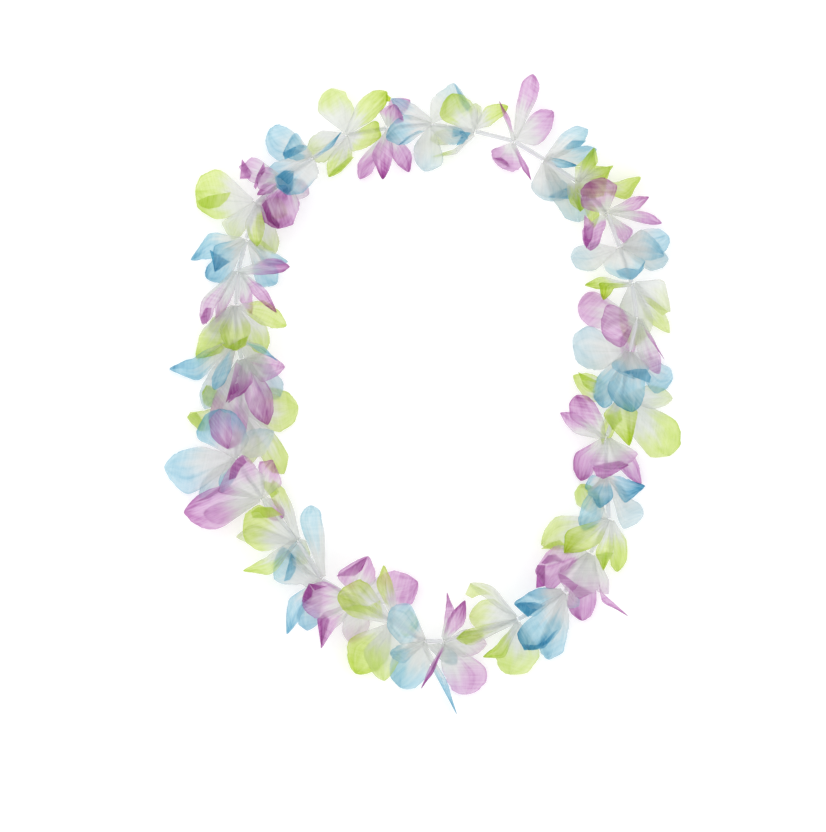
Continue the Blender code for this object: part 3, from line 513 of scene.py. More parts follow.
        (284, 126, 268, 131, 274, 157, 5, 3, 20),
        (295, 134, 283, 155, 293, 159, 22, -5, 6),
        (279, 161, 268, 169, 283, 176, 12, 3, 14),
        (277, 177, 288, 196, 314, 180, 21, -3, 16),
        (330, 143, 342, 132, 333, 147, 30, 8, 0),
    )),
    (347, 135, (
        (319, 109, 331, 88, 352, 105, 5, 3, 18),
        (361, 101, 387, 92, 377, 115, 26, -4, 16),
        (376, 122, 381, 137, 356, 151, 20, 4, 8),
        (329, 159, 329, 177, 350, 160, 14, -5, 10),
        (317, 133, 307, 150, 322, 162, 3, 2, 16),
    )),
    (388, 128, (
        (360, 160, 360, 179, 378, 160, 7, 3, 14),
        (373, 155, 383, 180, 392, 157, 27, -6, 6),
        (394, 160, 409, 172, 411, 154, 8, 5, 8),
        (381, 111, 395, 105, 403, 120, 29, 4, 8),
        (391, 100, 410, 100, 404, 113, 16, -3, 10),
    )),
    (431, 124, (
        (412, 104, 391, 99, 407, 118, 22, 4, 10),
        (402, 117, 386, 138, 402, 145, 29, -4, 12),
        (414, 152, 424, 171, 442, 162, 13, 4, 14),
        (436, 96, 454, 83, 470, 106, 15, -4, 6),
        (460, 129, 468, 139, 450, 145, 20, 4, 6),
    )),
    (474, 131, (
        (441, 117, 452, 94, 474, 108, 27, -3, 16),
        (470, 109, 476, 103, 482, 113, 5, 2, 18),
        (487, 107, 508, 106, 493, 123, 14, -4, 12),
        (454, 149, 431, 157, 456, 154, 9, 4, 2),
        (447, 129, 430, 139, 448, 144, 5, 2, 14),
    )),
)

# A petal's corners: two at its neck, three rows of three, and its tip
NECK_ENDS = (0, 1)
ROWS = ((2, 3, 4), (5, 6, 7), (8, 9, 10))
TIP = 11
CORNERS = 12
OUTLINE = (0, 2, 5, 8, TIP, 10, 7, 4, 1)


def blade_triangles():
    """Triangles of a petal's middle surface, alike on both sides of its centre line."""
    first, last = NECK_ENDS
    left, middle, right = ROWS[0]
    found = [(first, last, middle), (first, middle, left), (last, right, middle)]
    for near, far in itertools.pairwise(ROWS):
        found.append((near[0], near[1], far[1]))
        found.append((near[0], far[1], far[0]))
        found.append((near[1], near[2], far[1]))
        found.append((near[2], far[2], far[1]))
    left, middle, right = ROWS[-1]
    return np.array(found + [(left, middle, TIP), (middle, right, TIP)])


TRIANGLES = blade_triangles()
EDGES = np.array(sorted({tuple(sorted(pair)) for t in TRIANGLES for pair in itertools.combinations(t, 2)}))


def table_point(pixel_x, pixel_y):
    """The point of the table under a photo pixel."""
    return np.array(((pixel_x - PHOTO_MIDDLE[0]) * PHOTO_PIXEL, (PHOTO_MIDDLE[1] - pixel_y) * PHOTO_PIXEL))


def unit(vector):
    return vector / np.linalg.norm(vector)


def cross(first, second):
    """Twice the signed area between two vectors of the plan."""
    return first[..., 0] * second[..., 1] - first[..., 1] * second[..., 0]


# Where the string runs


def hub_places():
    """Each hub's middle, on a string that dips and rises a little."""
    places = []
    for number, (pixel_x, pixel_y, _) in enumerate(BLOOMS):
        height = STRING_HEIGHT + STRING_SWAY * math.sin(SWAY_STEP * number)
        places.append(np.array((*table_point(pixel_x, pixel_y), height)))
    return places


def string_directions(places):
    """The way the string runs through each hub."""
    directions = []
    for number, place in enumerate(places):
        after = places[(number + 1) % len(places)] - place
        before = place - places[number - 1]
        directions.append(unit(unit(after) + unit(before)))
    return directions


def sideways_of(direction):
    """Level, and square to the string."""
    return unit(np.array((-direction[1], direction[0])))


# Where each petal lies before it meets the others


def root_angles(direction, hub, petals):
    """Five even places round the hub, given to the petals so that each leaves near its own way."""
    across = sideways_of(direction)
    wanted, weights = [], []
    for petal in petals:
        sideways = unit(table_point(petal[2], petal[3]) - hub[:2]) @ across
        wanted.append(math.atan2(petal[6] / STRING_HEIGHT - 1, sideways))
        weights.append(1 + ALONG_WEIGHT * (1 - sideways**2))
    best = None
    for start in TURNS_TRIED:
        turns = [math.radians(start + 360 // PETALS * slot) for slot in range(PETALS)]
        for order in itertools.permutations(turns):
            miss = sum(w * (1 - math.cos(a - b)) for a, b, w in zip(order, wanted, weights))
            if best is None or miss < best[0]:
                best = (miss, order)
    return best[1]


def petal_wish(hub, petal, angle, across):
    """A petal's corners as the photo shows them from above, and the heights that it would like to have."""
    left, tip, right = (table_point(*petal[k : k + 2]) for k in (0, 2, 4))
    height, lean, bulge = petal[6:]
    if height < LYING:
        height = RESTING
    root = hub[:2] + across * ROOT_RADIUS * math.cos(angle)
    root_height = hub[2] + ROOT_RADIUS * math.sin(angle)
    if cross(left - root, right - root) > 0:
        left, right, lean = right, left, -lean
    shoulders = (left + right) / 2
    neck = sideways_of(shoulders - root) * NECK / 2
    points = np.zeros((CORNERS, 2))
    points[0] = root + neck
    points[1] = root - neck
    points[3] = root + (shoulders - root) * MIDWAY
    points[6] = shoulders
    points[9] = shoulders + (tip - shoulders) * END_MIDDLE
    points[TIP] = tip
    for shoulder, side in ((left, 0), (right, 2)):
        step = tip - shoulder
        outward = np.array((-step[1], step[0])) * bulge / 100
        if outward @ (shoulder - shoulders) < 0:
            outward = -outward
        points[2 + side] = points[3] + (shoulder - shoulders) * MIDWAY_WIDTH
        points[5 + side] = shoulder
        points[8 + side] = shoulder + step * END_SIDE + outward
    arch = ARCH * max(PETAL_WIDTH - np.linalg.norm(left - right), 0) + LEAST_ARCH
    lift = height - root_height
    rises = RISING if lift > 0 else FALLING
    heights = np.full(CORNERS, root_height)
    heights[TIP] = height
    for row, rise, share in zip(ROWS, rises, LEANING):
        heights[list(row)] += rise * lift + np.array((-lean * share / 2, arch, lean * share / 2))
    return points, np.maximum(heights, RESTING)


def petal_wishes(places, directions):
    """For every petal: its plan, wished heights, tip height, bloom and root angle."""
    plans, wishes, levels, owners, angles = [], [], [], [], []
    for number, (_, _, petals) in enumerate(BLOOMS):
        roots = root_angles(directions[number], places[number], petals)
        for petal, angle in zip(petals, roots):
            plan, heights = petal_wish(places[number], petal, angle, sideways_of(directions[number]))
            plans.append(plan)
            wishes.append(heights)
            levels.append(petal[6])
            owners.append(number)
            angles.append(angle)
    return np.array(plans), np.array(wishes), np.array(levels, float), np.array(owners), np.array(angles)


# Where petals meet each other and the string, seen from above


def widened(plan):
    """The plan with its outline pushed out, so that neighbours which only nearly meet still count."""
    wide = plan.copy()
    centre = plan.mean(axis=0)
    for corner in OUTLINE:
        wide[corner] += unit(plan[corner] - centre) * OVERHANG
    return wide


def weights_in(plan, points):
    """For each point, the triangles of the plan that hold it, as (point, corners, weights)."""
    a, b, c = (plan[TRIANGLES[:, corner]] for corner in range(3))
    spots = np.asarray(points)[:, None]
    whole = cross(b - a, c - a)
    whole = np.where(np.abs(whole) < NO_AREA, np.nan, whole)
    first = cross(b - spots, c - spots) / whole
    second = cross(c - spots, a - spots) / whole
    shares = np.stack((first, second, 1 - first - second), axis=-1)
    inside = np.nan_to_num(shares.min(axis=-1), nan=-1) >= 0
    return [(spot, TRIANGLES[triangle], shares[spot, triangle]) for spot, triangle in np.argwhere(inside)]


def edge_crossings(first, second):
    """Where edges of two plans cross, as corners and weights on the one and on the other."""
    a, b = first[EDGES[:, 0]], first[EDGES[:, 1]]
    c, d = second[EDGES[:, 0]], second[EDGES[:, 1]]
    area = cross((b - a)[:, None], (d - c)[None])
    area = np.where(np.abs(area) < PARALLEL, np.nan, area)
    gap = c[None] - a[:, None]
    t = cross(gap, (d - c)[None]) / area
    u = cross(gap, (b - a)[:, None]) / area
    inner = np.minimum(np.minimum(t, 1 - t), np.minimum(u, 1 - u))
    hits = np.argwhere(np.nan_to_num(inner, nan=-1) > 0)
    return [(EDGES[i], (1 - t[i, j], t[i, j]), EDGES[j], (1 - u[i, j], u[i, j])) for i, j in hits]


def stacking_ranks(plans, levels, owners, places):
    """Who lies over whom: by tip height, but a petal over another bloom's hub lies over that whole bloom."""
    ranks = levels + TIE_STEP * np.arange(len(levels))
    lows, highs = plans.min(axis=1), plans.max(axis=1)
    rules = []
    for petal, plan in enumerate(plans):
        for number, place in enumerate(places):
            if owners[petal] == number or not weights_in(plan, [place[:2]]):
                continue
            for other in np.flatnonzero(owners == number):
                if (lows[other] < highs[petal]).all() and (lows[petal] < highs[other]).all():
                    rules.append((petal, other) if levels[petal] > STRING_HEIGHT else (other, petal))
    for _ in range(RANKING_ROUNDS):
        for over, under in rules:
            if ranks[over] <= ranks[under]:
                ranks[over] = ranks[under] + RANK_STEP
    return ranks


class Contacts:
    """Sums of weighted corner heights that have to reach a limit, one for each place where things overlap."""

    def __init__(self):
        self.corners, self.weights, self.limits = [], [], []

    def add(self, over, under, limit=0.0):
        """Each side is (petal, corners, weights), or None where the limit stands for a fixed height."""
        corners, weights = np.zeros(6, int), np.zeros(6)
        for sign, start, side in ((1, 0, over), (-1, 3, under)):
            if side is not None:
                petal, found, shares = side
                corners[start : start + len(found)] = petal * CORNERS + np.asarray(found)
                weights[start : start + len(found)] = sign * np.asarray(shares)
        self.corners.append(corners)
        self.weights.append(weights)
        self.limits.append(limit)


def add_petal_contacts(contacts, plans, ranks, owners):
    """Where two petals overlap, the one of the higher rank lies over the other."""
    wide = np.array([widened(plan) for plan in plans])
    lows, highs = wide.min(axis=1), wide.max(axis=1)
    for one, other in itertools.combinations(range(len(plans)), 2):
        if (lows[one] > highs[other]).any() or (lows[other] > highs[one]).any():
            continue
        found = []
        for corner, corners, shares in weights_in(wide[other], wide[one]):
            found.append(((one, [corner], [1.0]), (other, corners, shares)))
        for corner, corners, shares in weights_in(wide[one], wide[other]):
            found.append(((one, corners, shares), (other, [corner], [1.0])))
        for edge, shares, crossed, parts in edge_crossings(wide[one], wide[other]):
            found.append(((one, edge, shares), (other, crossed, parts)))
        if owners[one] == owners[other]:
            found = [pair for pair in found if min(*pair[0][1], *pair[1][1]) > max(NECK_ENDS)]
        for first, second in found:
            contacts.add(*((first, second) if ranks[one] > ranks[other] else (second, first)))


def string_marks(places, directions):
    """Points of hubs, string and straws, each with the height it takes up and the bloom it belongs to."""
    marks = []
    for number, place in enumerate(places):
        after = places[(number + 1) % len(places)]
        across = np.array((*sideways_of(directions[number]), 0.0))
        for side in HUB_MARKS:
            marks.append((place + across * HUB_RADIUS * side, HUB_RADIUS + CLEARANCE, number))
        for step in STRING_MARKS:
            marks.append((place + directions[number] * step, STRING_RADIUS + CLEARANCE, None))
        for share in np.linspace(*STRAW_MARKS):
            for side in (-1, 0, 1):
                point = place + (after - place) * share + across * (STRAW_RADIUS + CLEARANCE) * side
                marks.append((point, STRAW_RADIUS + CLEARANCE / 2, None))
    return marks


def add_string_contacts(contacts, plans, levels, owners, angles, places, directions):
    """Keeps each petal off the hubs, straws and string that it passes over or under."""
    marks = string_marks(places, directions)
    for petal, plan in enumerate(plans):
        for point, radius, own in marks:
            if owners[petal] == own:
                continue
            at_home = np.linalg.norm(point - places[owners[petal]]) < HOME
            above = math.sin(angles[petal]) > 0 if at_home else levels[petal] > STRING_HEIGHT
            for _, corners, shares in weights_in(plan, [point[:2]]):
                side = (petal, corners, shares)
                if above:
                    contacts.add(side, None, point[2] + radius)
                else:
                    contacts.add(None, side, radius - point[2])


# How the petals settle on each other


def steepness(plans, heights):
    """How much a petal's slope stretches its thickness upward, at each corner."""
    corners = np.concatenate([plans, heights[..., None]], axis=2)[:, TRIANGLES]
    normals = np.cross(corners[:, :, 1] - corners[:, :, 0], corners[:, :, 2] - corners[:, :, 0])
    ratio = np.linalg.norm(normals, axis=2) / np.maximum(np.abs(normals[..., 2]), TINY)
    stretch = np.ones(heights.shape)
    for index, triangle in enumerate(TRIANGLES):
        for corner in triangle:
            stretch[:, corner] = np.maximum(stretch[:, corner], ratio[:, index])
    return np.minimum(stretch, STEEPEST)


def neighbour_average():
    """Averages a corner's shift with its neighbours'. The neck stays where it is."""
    matrix = np.zeros((CORNERS, CORNERS))
    for first, second in EDGES:
        matrix[first, second] = matrix[second, first] = 1
    matrix /= matrix.sum(axis=1, keepdims=True)
    matrix[list(NECK_ENDS)] = 0
    return matrix


def settled_heights(plans, wishes, contacts):
    """Lets every petal give way up or down until it clears what it overlaps."""
    corners, weights, limits = map(np.array, (contacts.corners, contacts.weights, contacts.limits))
    free = np.ones(CORNERS)
    free[list(NECK_ENDS)] = 0
    moving = np.tile(free, len(plans))[corners]
    pull = np.abs(weights) * moving
    strength = np.maximum((weights**2 * moving).sum(axis=1), TINY)
    average = neighbour_average()
    heights = wishes.copy()
    for turn in range(SETTLING_ROUNDS):
        if turn % SLOPE_ROUNDS == 0:
            stretch = steepness(plans, heights).reshape(-1)
            needed = limits + CLEARANCE + FABRIC / 2 * (np.abs(weights) * stretch[corners]).sum(axis=1)
        short = needed - (weights * heights.reshape(-1)[corners]).sum(axis=1)
        active = short > 0
        step = (short / strength)[active, None] * weights[active] * moving[active]
        push, total = np.zeros(heights.size), np.zeros(heights.size)
        np.add.at(push, corners[active], step * pull[active])
        np.add.at(total, corners[active], pull[active])
        heights = heights + OVERSHOOT * (push / np.maximum(total, TINY)).reshape(heights.shape)
        if turn < SPRINGY_ROUNDS:
            shift = (heights - wishes) * free
            shift = shift * (1 - STIFFNESS - SPRING_BACK) + STIFFNESS * shift @ average.T
            heights = wishes + shift
        heights = np.clip(heights, RESTING, HIGHEST)
    return heights


# Meshes


def in_scene(name, data):
    made = bpy.data.objects.new(name, data)
    bpy.context.scene.collection.objects.link(made)
    return made


def mesh_object(name, points, faces):
    """A closed mesh facing out, from points in millimetres."""
    mesh = bpy.data.meshes.new(name)
    mesh.from_pydata((np.asarray(points) / METRE).tolist(), [], faces)
    shape = bmesh.new()
    shape.from_mesh(mesh)
    bmesh.ops.triangulate(shape, faces=shape.faces)
    bmesh.ops.recalc_face_normals(shape, faces=shape.faces)
    shape.to_mesh(mesh)
    shape.free()
    return in_scene(name, mesh)


def circle(middle, along, radius, sides):
    """Points round a middle, square to the way along."""
    across = np.array((*sideways_of(along), 0.0))
    up = np.cross(along, across)
    turns = [2 * math.pi * (side + 0.5) / sides for side in range(sides)]
    return [middle + radius * (math.cos(turn) * across + math.sin(turn) * up) for turn in turns]


def ring_faces(rings, sides, gaps):
    """Faces between rings of points, over as many gaps: one less than there are rings, or one for each."""
    faces = []
    for near in range(gaps):
        far = (near + 1) % rings
        for side in range(sides):
            turn = (side + 1) % sides
            faces.append((near * sides + side, near * sides + turn, far * sides + turn, far * sides + side))
    return faces


def loop_of_rings(name, rings):
    """Rings of points joined one to the next, and the last to the first."""
    points = [point for ring in rings for point in ring]
    return mesh_object(name, points, ring_faces(len(rings), len(rings[0]), len(rings)))


def smooth_line(points, places):
    """Points at these places along a smooth curve through the given points, the first at 0, the next at 1."""
    padded = np.vstack((2 * points[0] - points[1], points, 2 * points[-1] - points[-2]))
    index = np.clip(np.floor(places).astype(int), 0, len(points) - 2)
    t = (places - index)[:, None]
    a, b, c, d = (padded[index + step] for step in range(4))
    return b + 0.5 * t * (c - a + t * (2 * a - 5 * b + 4 * c - d + t * (3 * (b - c) + d - a)))


def petal_rims(corners, stops, cornered):
    """A petal's left and right edges from neck to tip: smooth curves with this share of straight sides."""
    rim = corners[list(OUTLINE)]
    places = np.concatenate((stops, len(rim) - 1 - stops))
    straight = np.column_stack([np.interp(places, np.arange(len(rim)), rim[:, axis]) for axis in range(3)])
    edge = straight * cornered + smooth_line(rim, places) * (1 - cornered)
    return edge[: len(stops)], edge[len(stops) :]


def spread(draw, v, cornered):
    """How far each point lies from the petal's middle line, from about -1 to 1 at its wandering edges."""
    across = np.linspace(-1, 1, COLUMNS_ACROSS)
    left, right = (
        np.interp(v, np.linspace(0, 1, EDGE_KNOTS), draw.normal(0, EDGE_WANDER, EDGE_KNOTS))
        + draw.normal(0, FRAY, v.shape)
        for _ in range(2)
    )
    wander = np.where(across < 0, left, right)
    gathered = GATHER * np.sin(math.pi * np.clip(2 * v, 0, 1))
    return across * (1 + wander * v + EDGE_SPARE * cornered * v + gathered)


def waves(draw, u, v):
    """Heights of the long pleats and of the waved end."""
    pleat_phase, across_phase, along_phase = draw.uniform(0, 2 * math.pi, 3)
    pleats = PLEAT * np.sin(PLEATS_ACROSS * u + pleat_phase) * np.sin(math.pi * v)
    flutter = np.sin(FLUTTER_ACROSS * u + across_phase) * np.sin(FLUTTER_ALONG * v + along_phase)
    return pleats + FLUTTER * flutter * v**2


def crease_depths(draw, u, v):
    """How deep each point lies in a long sharp crease, from 0 to 1."""
    depths = np.zeros(u.shape)
    for _ in range(CREASES):
        line = draw.uniform(-CREASE_SPREAD, CREASE_SPREAD) + draw.normal(0, CREASE_SLANT) * v
        end = draw.uniform(*CREASE_ENDS)
        near = np.exp(-(((u - line) / CREASE_WIDTH) ** 2)) * draw.uniform(*CREASE_STRENGTHS)
        fade = np.clip(np.minimum(end - v, v) / CREASE_FADE, 0, 1)
        depths = np.maximum(depths, near * fade)
    return depths


def folds(draw, u, v):
    """Heights that sharp folds add to the petal's end, and how much they shade it, from 0 to 1."""
    heights, shade = np.zeros(u.shape), np.zeros(u.shape)
    for _ in range(FOLDS):
        turn = draw.uniform(-FOLD_TURN, FOLD_TURN)
        along = (v - draw.uniform(*FOLD_STARTS)) * math.cos(turn) * LENGTH_TO_HALF_WIDTH
        past = along + (u - draw.uniform(-FOLD_ASIDE, FOLD_ASIDE)) * math.sin(turn)
        past = np.clip(past, 0, FOLD_REACH) * PETAL_WIDTH / 2
        heights += draw.choice((-1, 1)) * FOLD_SLOPE * past
        shade = np.maximum(shade, np.clip(past / FOLD_EDGE, 0, 1) * draw.uniform(*FOLD_STRENGTHS))
    return heights, shade


def petal_grid(corners, seed):
    """Rows of points from neck to tip, their places across, and how deep they lie in creases and folds."""
    draw = np.random.default_rng(seed)
    stops = np.linspace(0, len(ROWS) + 1, ROWS_ALONG)
    cornered = draw.uniform(*CORNERED)
    left, right = petal_rims(corners, stops, cornered)
    neck = (corners[0] + corners[1]) / 2
    middle = smooth_line(np.vstack((neck, corners[[row[1] for row in ROWS]], corners[TIP])), stops)
    v = np.linspace(0, 1, ROWS_ALONG)[:, None]
    u = spread(draw, v, cornered)
    grid = (
        left[:, None] * (u * (u - 1) / 2)[..., None]
        + middle[:, None] * (1 - u**2)[..., None]
        + right[:, None] * (u * (u + 1) / 2)[..., None]
    )
    creases = crease_depths(draw, u, v)
    lift, shade = folds(draw, u, v)
    grid[..., 2] += waves(draw, u, v) + lift - CREASE_DEPTH * creases
    grid[..., 2] = np.maximum(grid[..., 2], RESTING / 2)
    return grid, u, np.maximum(creases, FOLD_SHADE * shade)


def dye_at(colour, level, reach):
    """The dye's colour at these shares of a petal's length, from undyed at the neck to full at the tip."""
    half, full, undyed = (np.array(shade) for shade in (*DYES[colour], UNDYED))
    start, middle, half_share, full_share = DYE_RUNS[level]
    first = np.clip((reach - start) / (middle - start), 0, 1)[..., None]
    second = np.clip((reach - middle) / (DYE_END - middle), 0, 1)[..., None]
    first, second = (share * share * (3 - 2 * share) for share in (first, second))
    return undyed + (half - undyed) * first * half_share + (full - half) * second * full_share


def slope_doubling_and_shade(grid):
    """How much more cloth the light passes where it slopes, used to paint shade on slopes: one on the level,
    more on a steep side.
    """
    facing = np.cross(np.gradient(grid, axis=0), np.gradient(grid, axis=1))
    level = np.abs(facing[..., 2]) / np.maximum(np.linalg.norm(facing, axis=-1), TINY)
    return 1 / np.clip(level, LEAST_LEVEL, 1)


class Cloth:
    """One bloom's mesh: its points and faces, and for each point its dye with the petals' painted shade,
    its place along the petal's veins, and its place along the cloth's threads."""

    def __init__(self):
        self.points, self.faces, self.dyes, self.places, self.threads = [], [], [], [], []

    def add(self, points, faces, dyes, places, thread_angle):
        """The angle is that of the cloth's threads on the table."""
        start = len(self.points)
        ahead = np.array((math.cos(thread_angle), math.sin(thread_angle)))
        flat = np.asarray(points)[:, :2]
        threads = np.column_stack((flat @ sideways_of(ahead), flat @ ahead, np.zeros(len(flat))))
        self.threads.extend(threads.tolist())
        self.points.extend(np.asarray(points).tolist())
        self.faces.extend([tuple(start + corner for corner in face) for face in faces])
        self.dyes.extend(np.asarray(dyes).tolist())
        self.places.extend(np.asarray(places).tolist())

    def mesh(self, name):
        mesh = bpy.data.meshes.new(name)
        mesh.from_pydata((np.array(self.points) / METRE).tolist(), [], self.faces)
        # the dye attribute holds the petals' painted shade of slopes, creases, folds and rims as well as
        # their dye
        dye = mesh.attributes.new("dye", "FLOAT_COLOR", "POINT")
        dye.data.foreach_set("color", np.column_stack((self.dyes, np.ones(len(self.dyes)))).ravel())
        threads = mesh.attributes.new("threads", "FLOAT_VECTOR", "POINT")
        threads.data.foreach_set("vector", np.array(self.threads).ravel())
        layer = mesh.uv_layers.new(name="cloth")
        corners = np.zeros(len(mesh.loops), np.int32)
        mesh.loops.foreach_get("vertex_index", corners)
        layer.data.foreach_set("uv", np.array(self.places)[corners].ravel())
        mesh.shade_smooth()
        return mesh


def grid_faces(rows, columns):
    faces = []
    for row in range(rows - 1):
        for column in range(columns - 1):
            corner = row * columns + column
            faces.append((corner, corner + 1, corner + columns + 1, corner + columns))
    return faces


def add_petal(cloth, corners, colour, level, seed, thread_angle):
    """A petal with its dye, and shade painted into the dye where it slopes, in creases and folds and at its
    edges, partly as doubled cloth.
    """
    grid, u, creases = petal_grid(corners, seed)
    away = np.linalg.norm(grid - (corners[0] + corners[1]) / 2, axis=-1)
    side = DYE_SIDE * math.sin(SIDE_TURN * seed) * u
    streaks = sum(depth * np.sin(pace * u + turn * seed) for depth, pace, turn in DYE_STREAKS)
    dyes = dye_at(colour, level, away / away.max() + side + streaks)
    left, right = RIM_SHADES if seed % 2 else reversed(RIM_SHADES)
    across = np.linspace(-1, 1, COLUMNS_ACROSS)
    rim = np.clip((np.abs(across) - 1) / RIM_WIDTH + 1, 0, 1) * np.where(across < 0, left, right)
    # painted shade: the dye deepens on slopes, in creases and folds and at the rims, partly as doubled cloth
    dyes = dyes ** (slope_doubling_and_shade(grid) ** SLOPE_SHADE + CREASE_SHADE * creases + rim)[..., None]
    places = np.stack((u * VEIN_SPREAD + VEIN_SHIFT * (seed % VEIN_KINDS), away), axis=-1)
    faces = grid_faces(*grid.shape[:2])
    cloth.add(grid.reshape(-1, 3), faces, dyes.reshape(-1, 3), places.reshape(-1, 2), thread_angle)


def height_over(plan, heights, point):
    """The petal's height at a point of the plan, or past its edge the height a little nearer its middle."""
    for share in INWARD_STEPS:
        inside = weights_in(plan, [point + (plan.mean(axis=0) - point) * share])
        if inside:
            return max(heights[corners] @ shares for _, corners, shares in inside)
    return heights.mean()


def add_flap(cloth, plan, heights, colour, level, pixels, thread_angle):
    """A piece of cloth folded over its petal and split finely enough to follow it, with a deeper dye."""
    flat = [table_point(*pixel) for pixel in pixels]
    shape = bmesh.new()
    corners = [shape.verts.new((*point, 0.0)) for point in flat]
    for triangle in tessellate_polygon([[Vector((*point, 0.0)) for point in flat]]):
        shape.faces.new([corners[corner] for corner in triangle])
    bmesh.ops.subdivide_edges(shape, edges=shape.edges, cuts=FLAP_CUTS, use_grid_fill=True)
    shape.verts.index_update()
    points = np.array([vertex.co for vertex in shape.verts])
    faces = [tuple(vertex.index for vertex in face.verts) for face in shape.faces]
    shape.free()
    for point in points:
        point[2] = height_over(plan, heights, point[:2]) + FLAP_LIFT
    neck = plan[:2].mean(axis=0)
    away = np.linalg.norm(points[:, :2] - neck, axis=1)
    reach = away / np.linalg.norm(plan - neck, axis=1).max()
    dyes = dye_at(colour, min(level + FLAP_LEVEL_LEAD[colour], len(DYE_RUNS) - 1), reach + FLAP_DYE_LEAD)
    cloth.add(points, faces, dyes, points[:, :2], thread_angle)


def add_collar(cloth, place, direction):
    """The cloth round the hole at a bloom's middle, lightly puckered."""
    across = np.array((*sideways_of(direction), 0.0))
    up = np.cross(direction, across)
    points = []
    for radius, pucker in COLLAR_RINGS:
        for turn in np.linspace(0, 2 * math.pi, COLLAR_SIDES, endpoint=False):
            outward = math.cos(turn) * across + math.sin(turn) * up
            points.append(place + radius * outward + direction * pucker * math.sin(COLLAR_PUCKERS * turn))
    faces = ring_faces(len(COLLAR_RINGS), COLLAR_SIDES, len(COLLAR_RINGS) - 1)
    cloth.add(points, faces, np.tile(UNDYED, (len(points), 1)), np.array(points)[:, :2], 0.0)


def make_bloom(number, plans, heights, owners, places, directions, fabrics):
    """One bloom's petals, flaps and collar, as one sheet of cloth that takes the place of its solid."""
    colour = COLOURS[number % len(COLOURS)]
    cloth = Cloth()
    for petal, index in enumerate(np.flatnonzero(owners == number), 1):
        level = int(DYE_LEVELS[number][petal - 1])
        corners = np.column_stack((plans[index], heights[index]))
        along = plans[index][TIP] - plans[index][:2].mean(axis=0)
        thread_angle = math.atan2(along[1], along[0]) + THREAD_STEP * petal + number
        add_petal(cloth, corners, colour, level, int(index), thread_angle)
        for bloom, owner, pixels in FLAPS:
            if (bloom, owner) == (number + 1, petal):
                add_flap(cloth, plans[index], heights[index], colour, level, pixels, -thread_angle)
    add_collar(cloth, places[number], directions[number])
    name = f"bloom_{number + 1:02d}_{colour}"
    made = in_scene(name + "_cloth", cloth.mesh(name + "_cloth"))
    made.data.materials.append(fabrics[colour])
    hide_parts(name)
    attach(made, "root")
    return made


def declare_cloth(bloom):
    """The area of a bloom's sheet of cloth, in square metres."""
    area = sum(polygon.area for polygon in bloom.data.polygons)
    return area


def straw(name, start, end, material):
    """A hollow straw round the string, its ends cut square."""
    along = unit(end - start)
    bore = STRAW_RADIUS - STRAW_WALL
    rounds = ((start, STRAW_RADIUS), (end, STRAW_RADIUS), (end, bore), (start, bore))
    made = loop_of_rings(name, [circle(middle, along, radius, STRAW_SIDES) for middle, radius in rounds])
    made.data.shade_smooth()
    made.modifiers.new("square ends", "EDGE_SPLIT").split_angle = SQUARE_EDGE
    made.data.materials.append(material)
    return made


def make_string(places, straw_material, string_material):
    """The string on a smooth way through the hubs, and the straws between them."""
    count = len(places)
    looped = np.array([places[(number - 1) % count] for number in range(count + 3)])
    way = smooth_line(looped, np.linspace(1, count + 1, count * STRING_STEPS, endpoint=False))
    ahead = np.roll(way, -1, axis=0) - np.roll(way, 1, axis=0)
    rings = [circle(point, unit(step), STRING_RADIUS, STRING_SIDES) for point, step in zip(way, ahead)]
    string = loop_of_rings("string", rings)
    string.data.shade_smooth()
    string.data.materials.append(string_material)
    pieces = [string]
    for number, place in enumerate(places):
        after = places[(number + 1) % count]
        along = unit(after - place)
        name = f"straw_{number + 1:02d}"
        pieces.append(straw(name, place + along * STRAW_END, after - along * STRAW_END, straw_material))
    for piece in pieces:
        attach(piece, "root")
        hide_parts("string_with_spacers")


# Materials


def nodes_of(name):
    material = bpy.data.materials.new(name)
    material.use_nodes = True
    tree = material.node_tree
    tree.nodes.clear()
    return material, tree


def add_node(tree, kind, inputs=None, **settings):
    node = tree.nodes.new(kind)
    for key, value in settings.items():
        setattr(node, key, value)
    for key, value in (inputs or {}).items():
        if isinstance(value, bpy.types.NodeSocket):
            tree.links.new(value, node.inputs[key])
        else:
            node.inputs[key].default_value = value
    return node


def noise(tree, scale, detail=2.0, place=None):
    """A noise from 0 to 1, its scale in spots for each unit of the place."""
    where = {} if place is None else {"Vector": place}
    return add_node(tree, "ShaderNodeTexNoise", {"Scale": scale, "Detail": detail, **where}).outputs["Fac"]


def remapped(tree, value, before, after):
    """The value moved from one range to another and kept inside it."""
    ends = {"From Min": before[0], "From Max": before[1], "To Min": after[0], "To Max": after[1]}
    return add_node(tree, "ShaderNodeMapRange", {"Value": value, **ends}).outputs["Result"]


def scaled(tree, place, scale):
    times = add_node(tree, "ShaderNodeVectorMath", {0: place, 1: scale}, operation="MULTIPLY")
    return times.outputs["Vector"]


def computed(tree, operation, *values):
    return add_node(tree, "ShaderNodeMath", dict(enumerate(values)), operation=operation).outputs["Value"]


def deepened(tree, colour, power):
    return add_node(tree, "ShaderNodeGamma", {"Color": colour, "Gamma": power}).outputs["Color"]


def mixed(tree, share, first, second):
    return add_node(tree, "ShaderNodeMixShader", {"Fac": share, 1: first, 2: second}).outputs["Shader"]


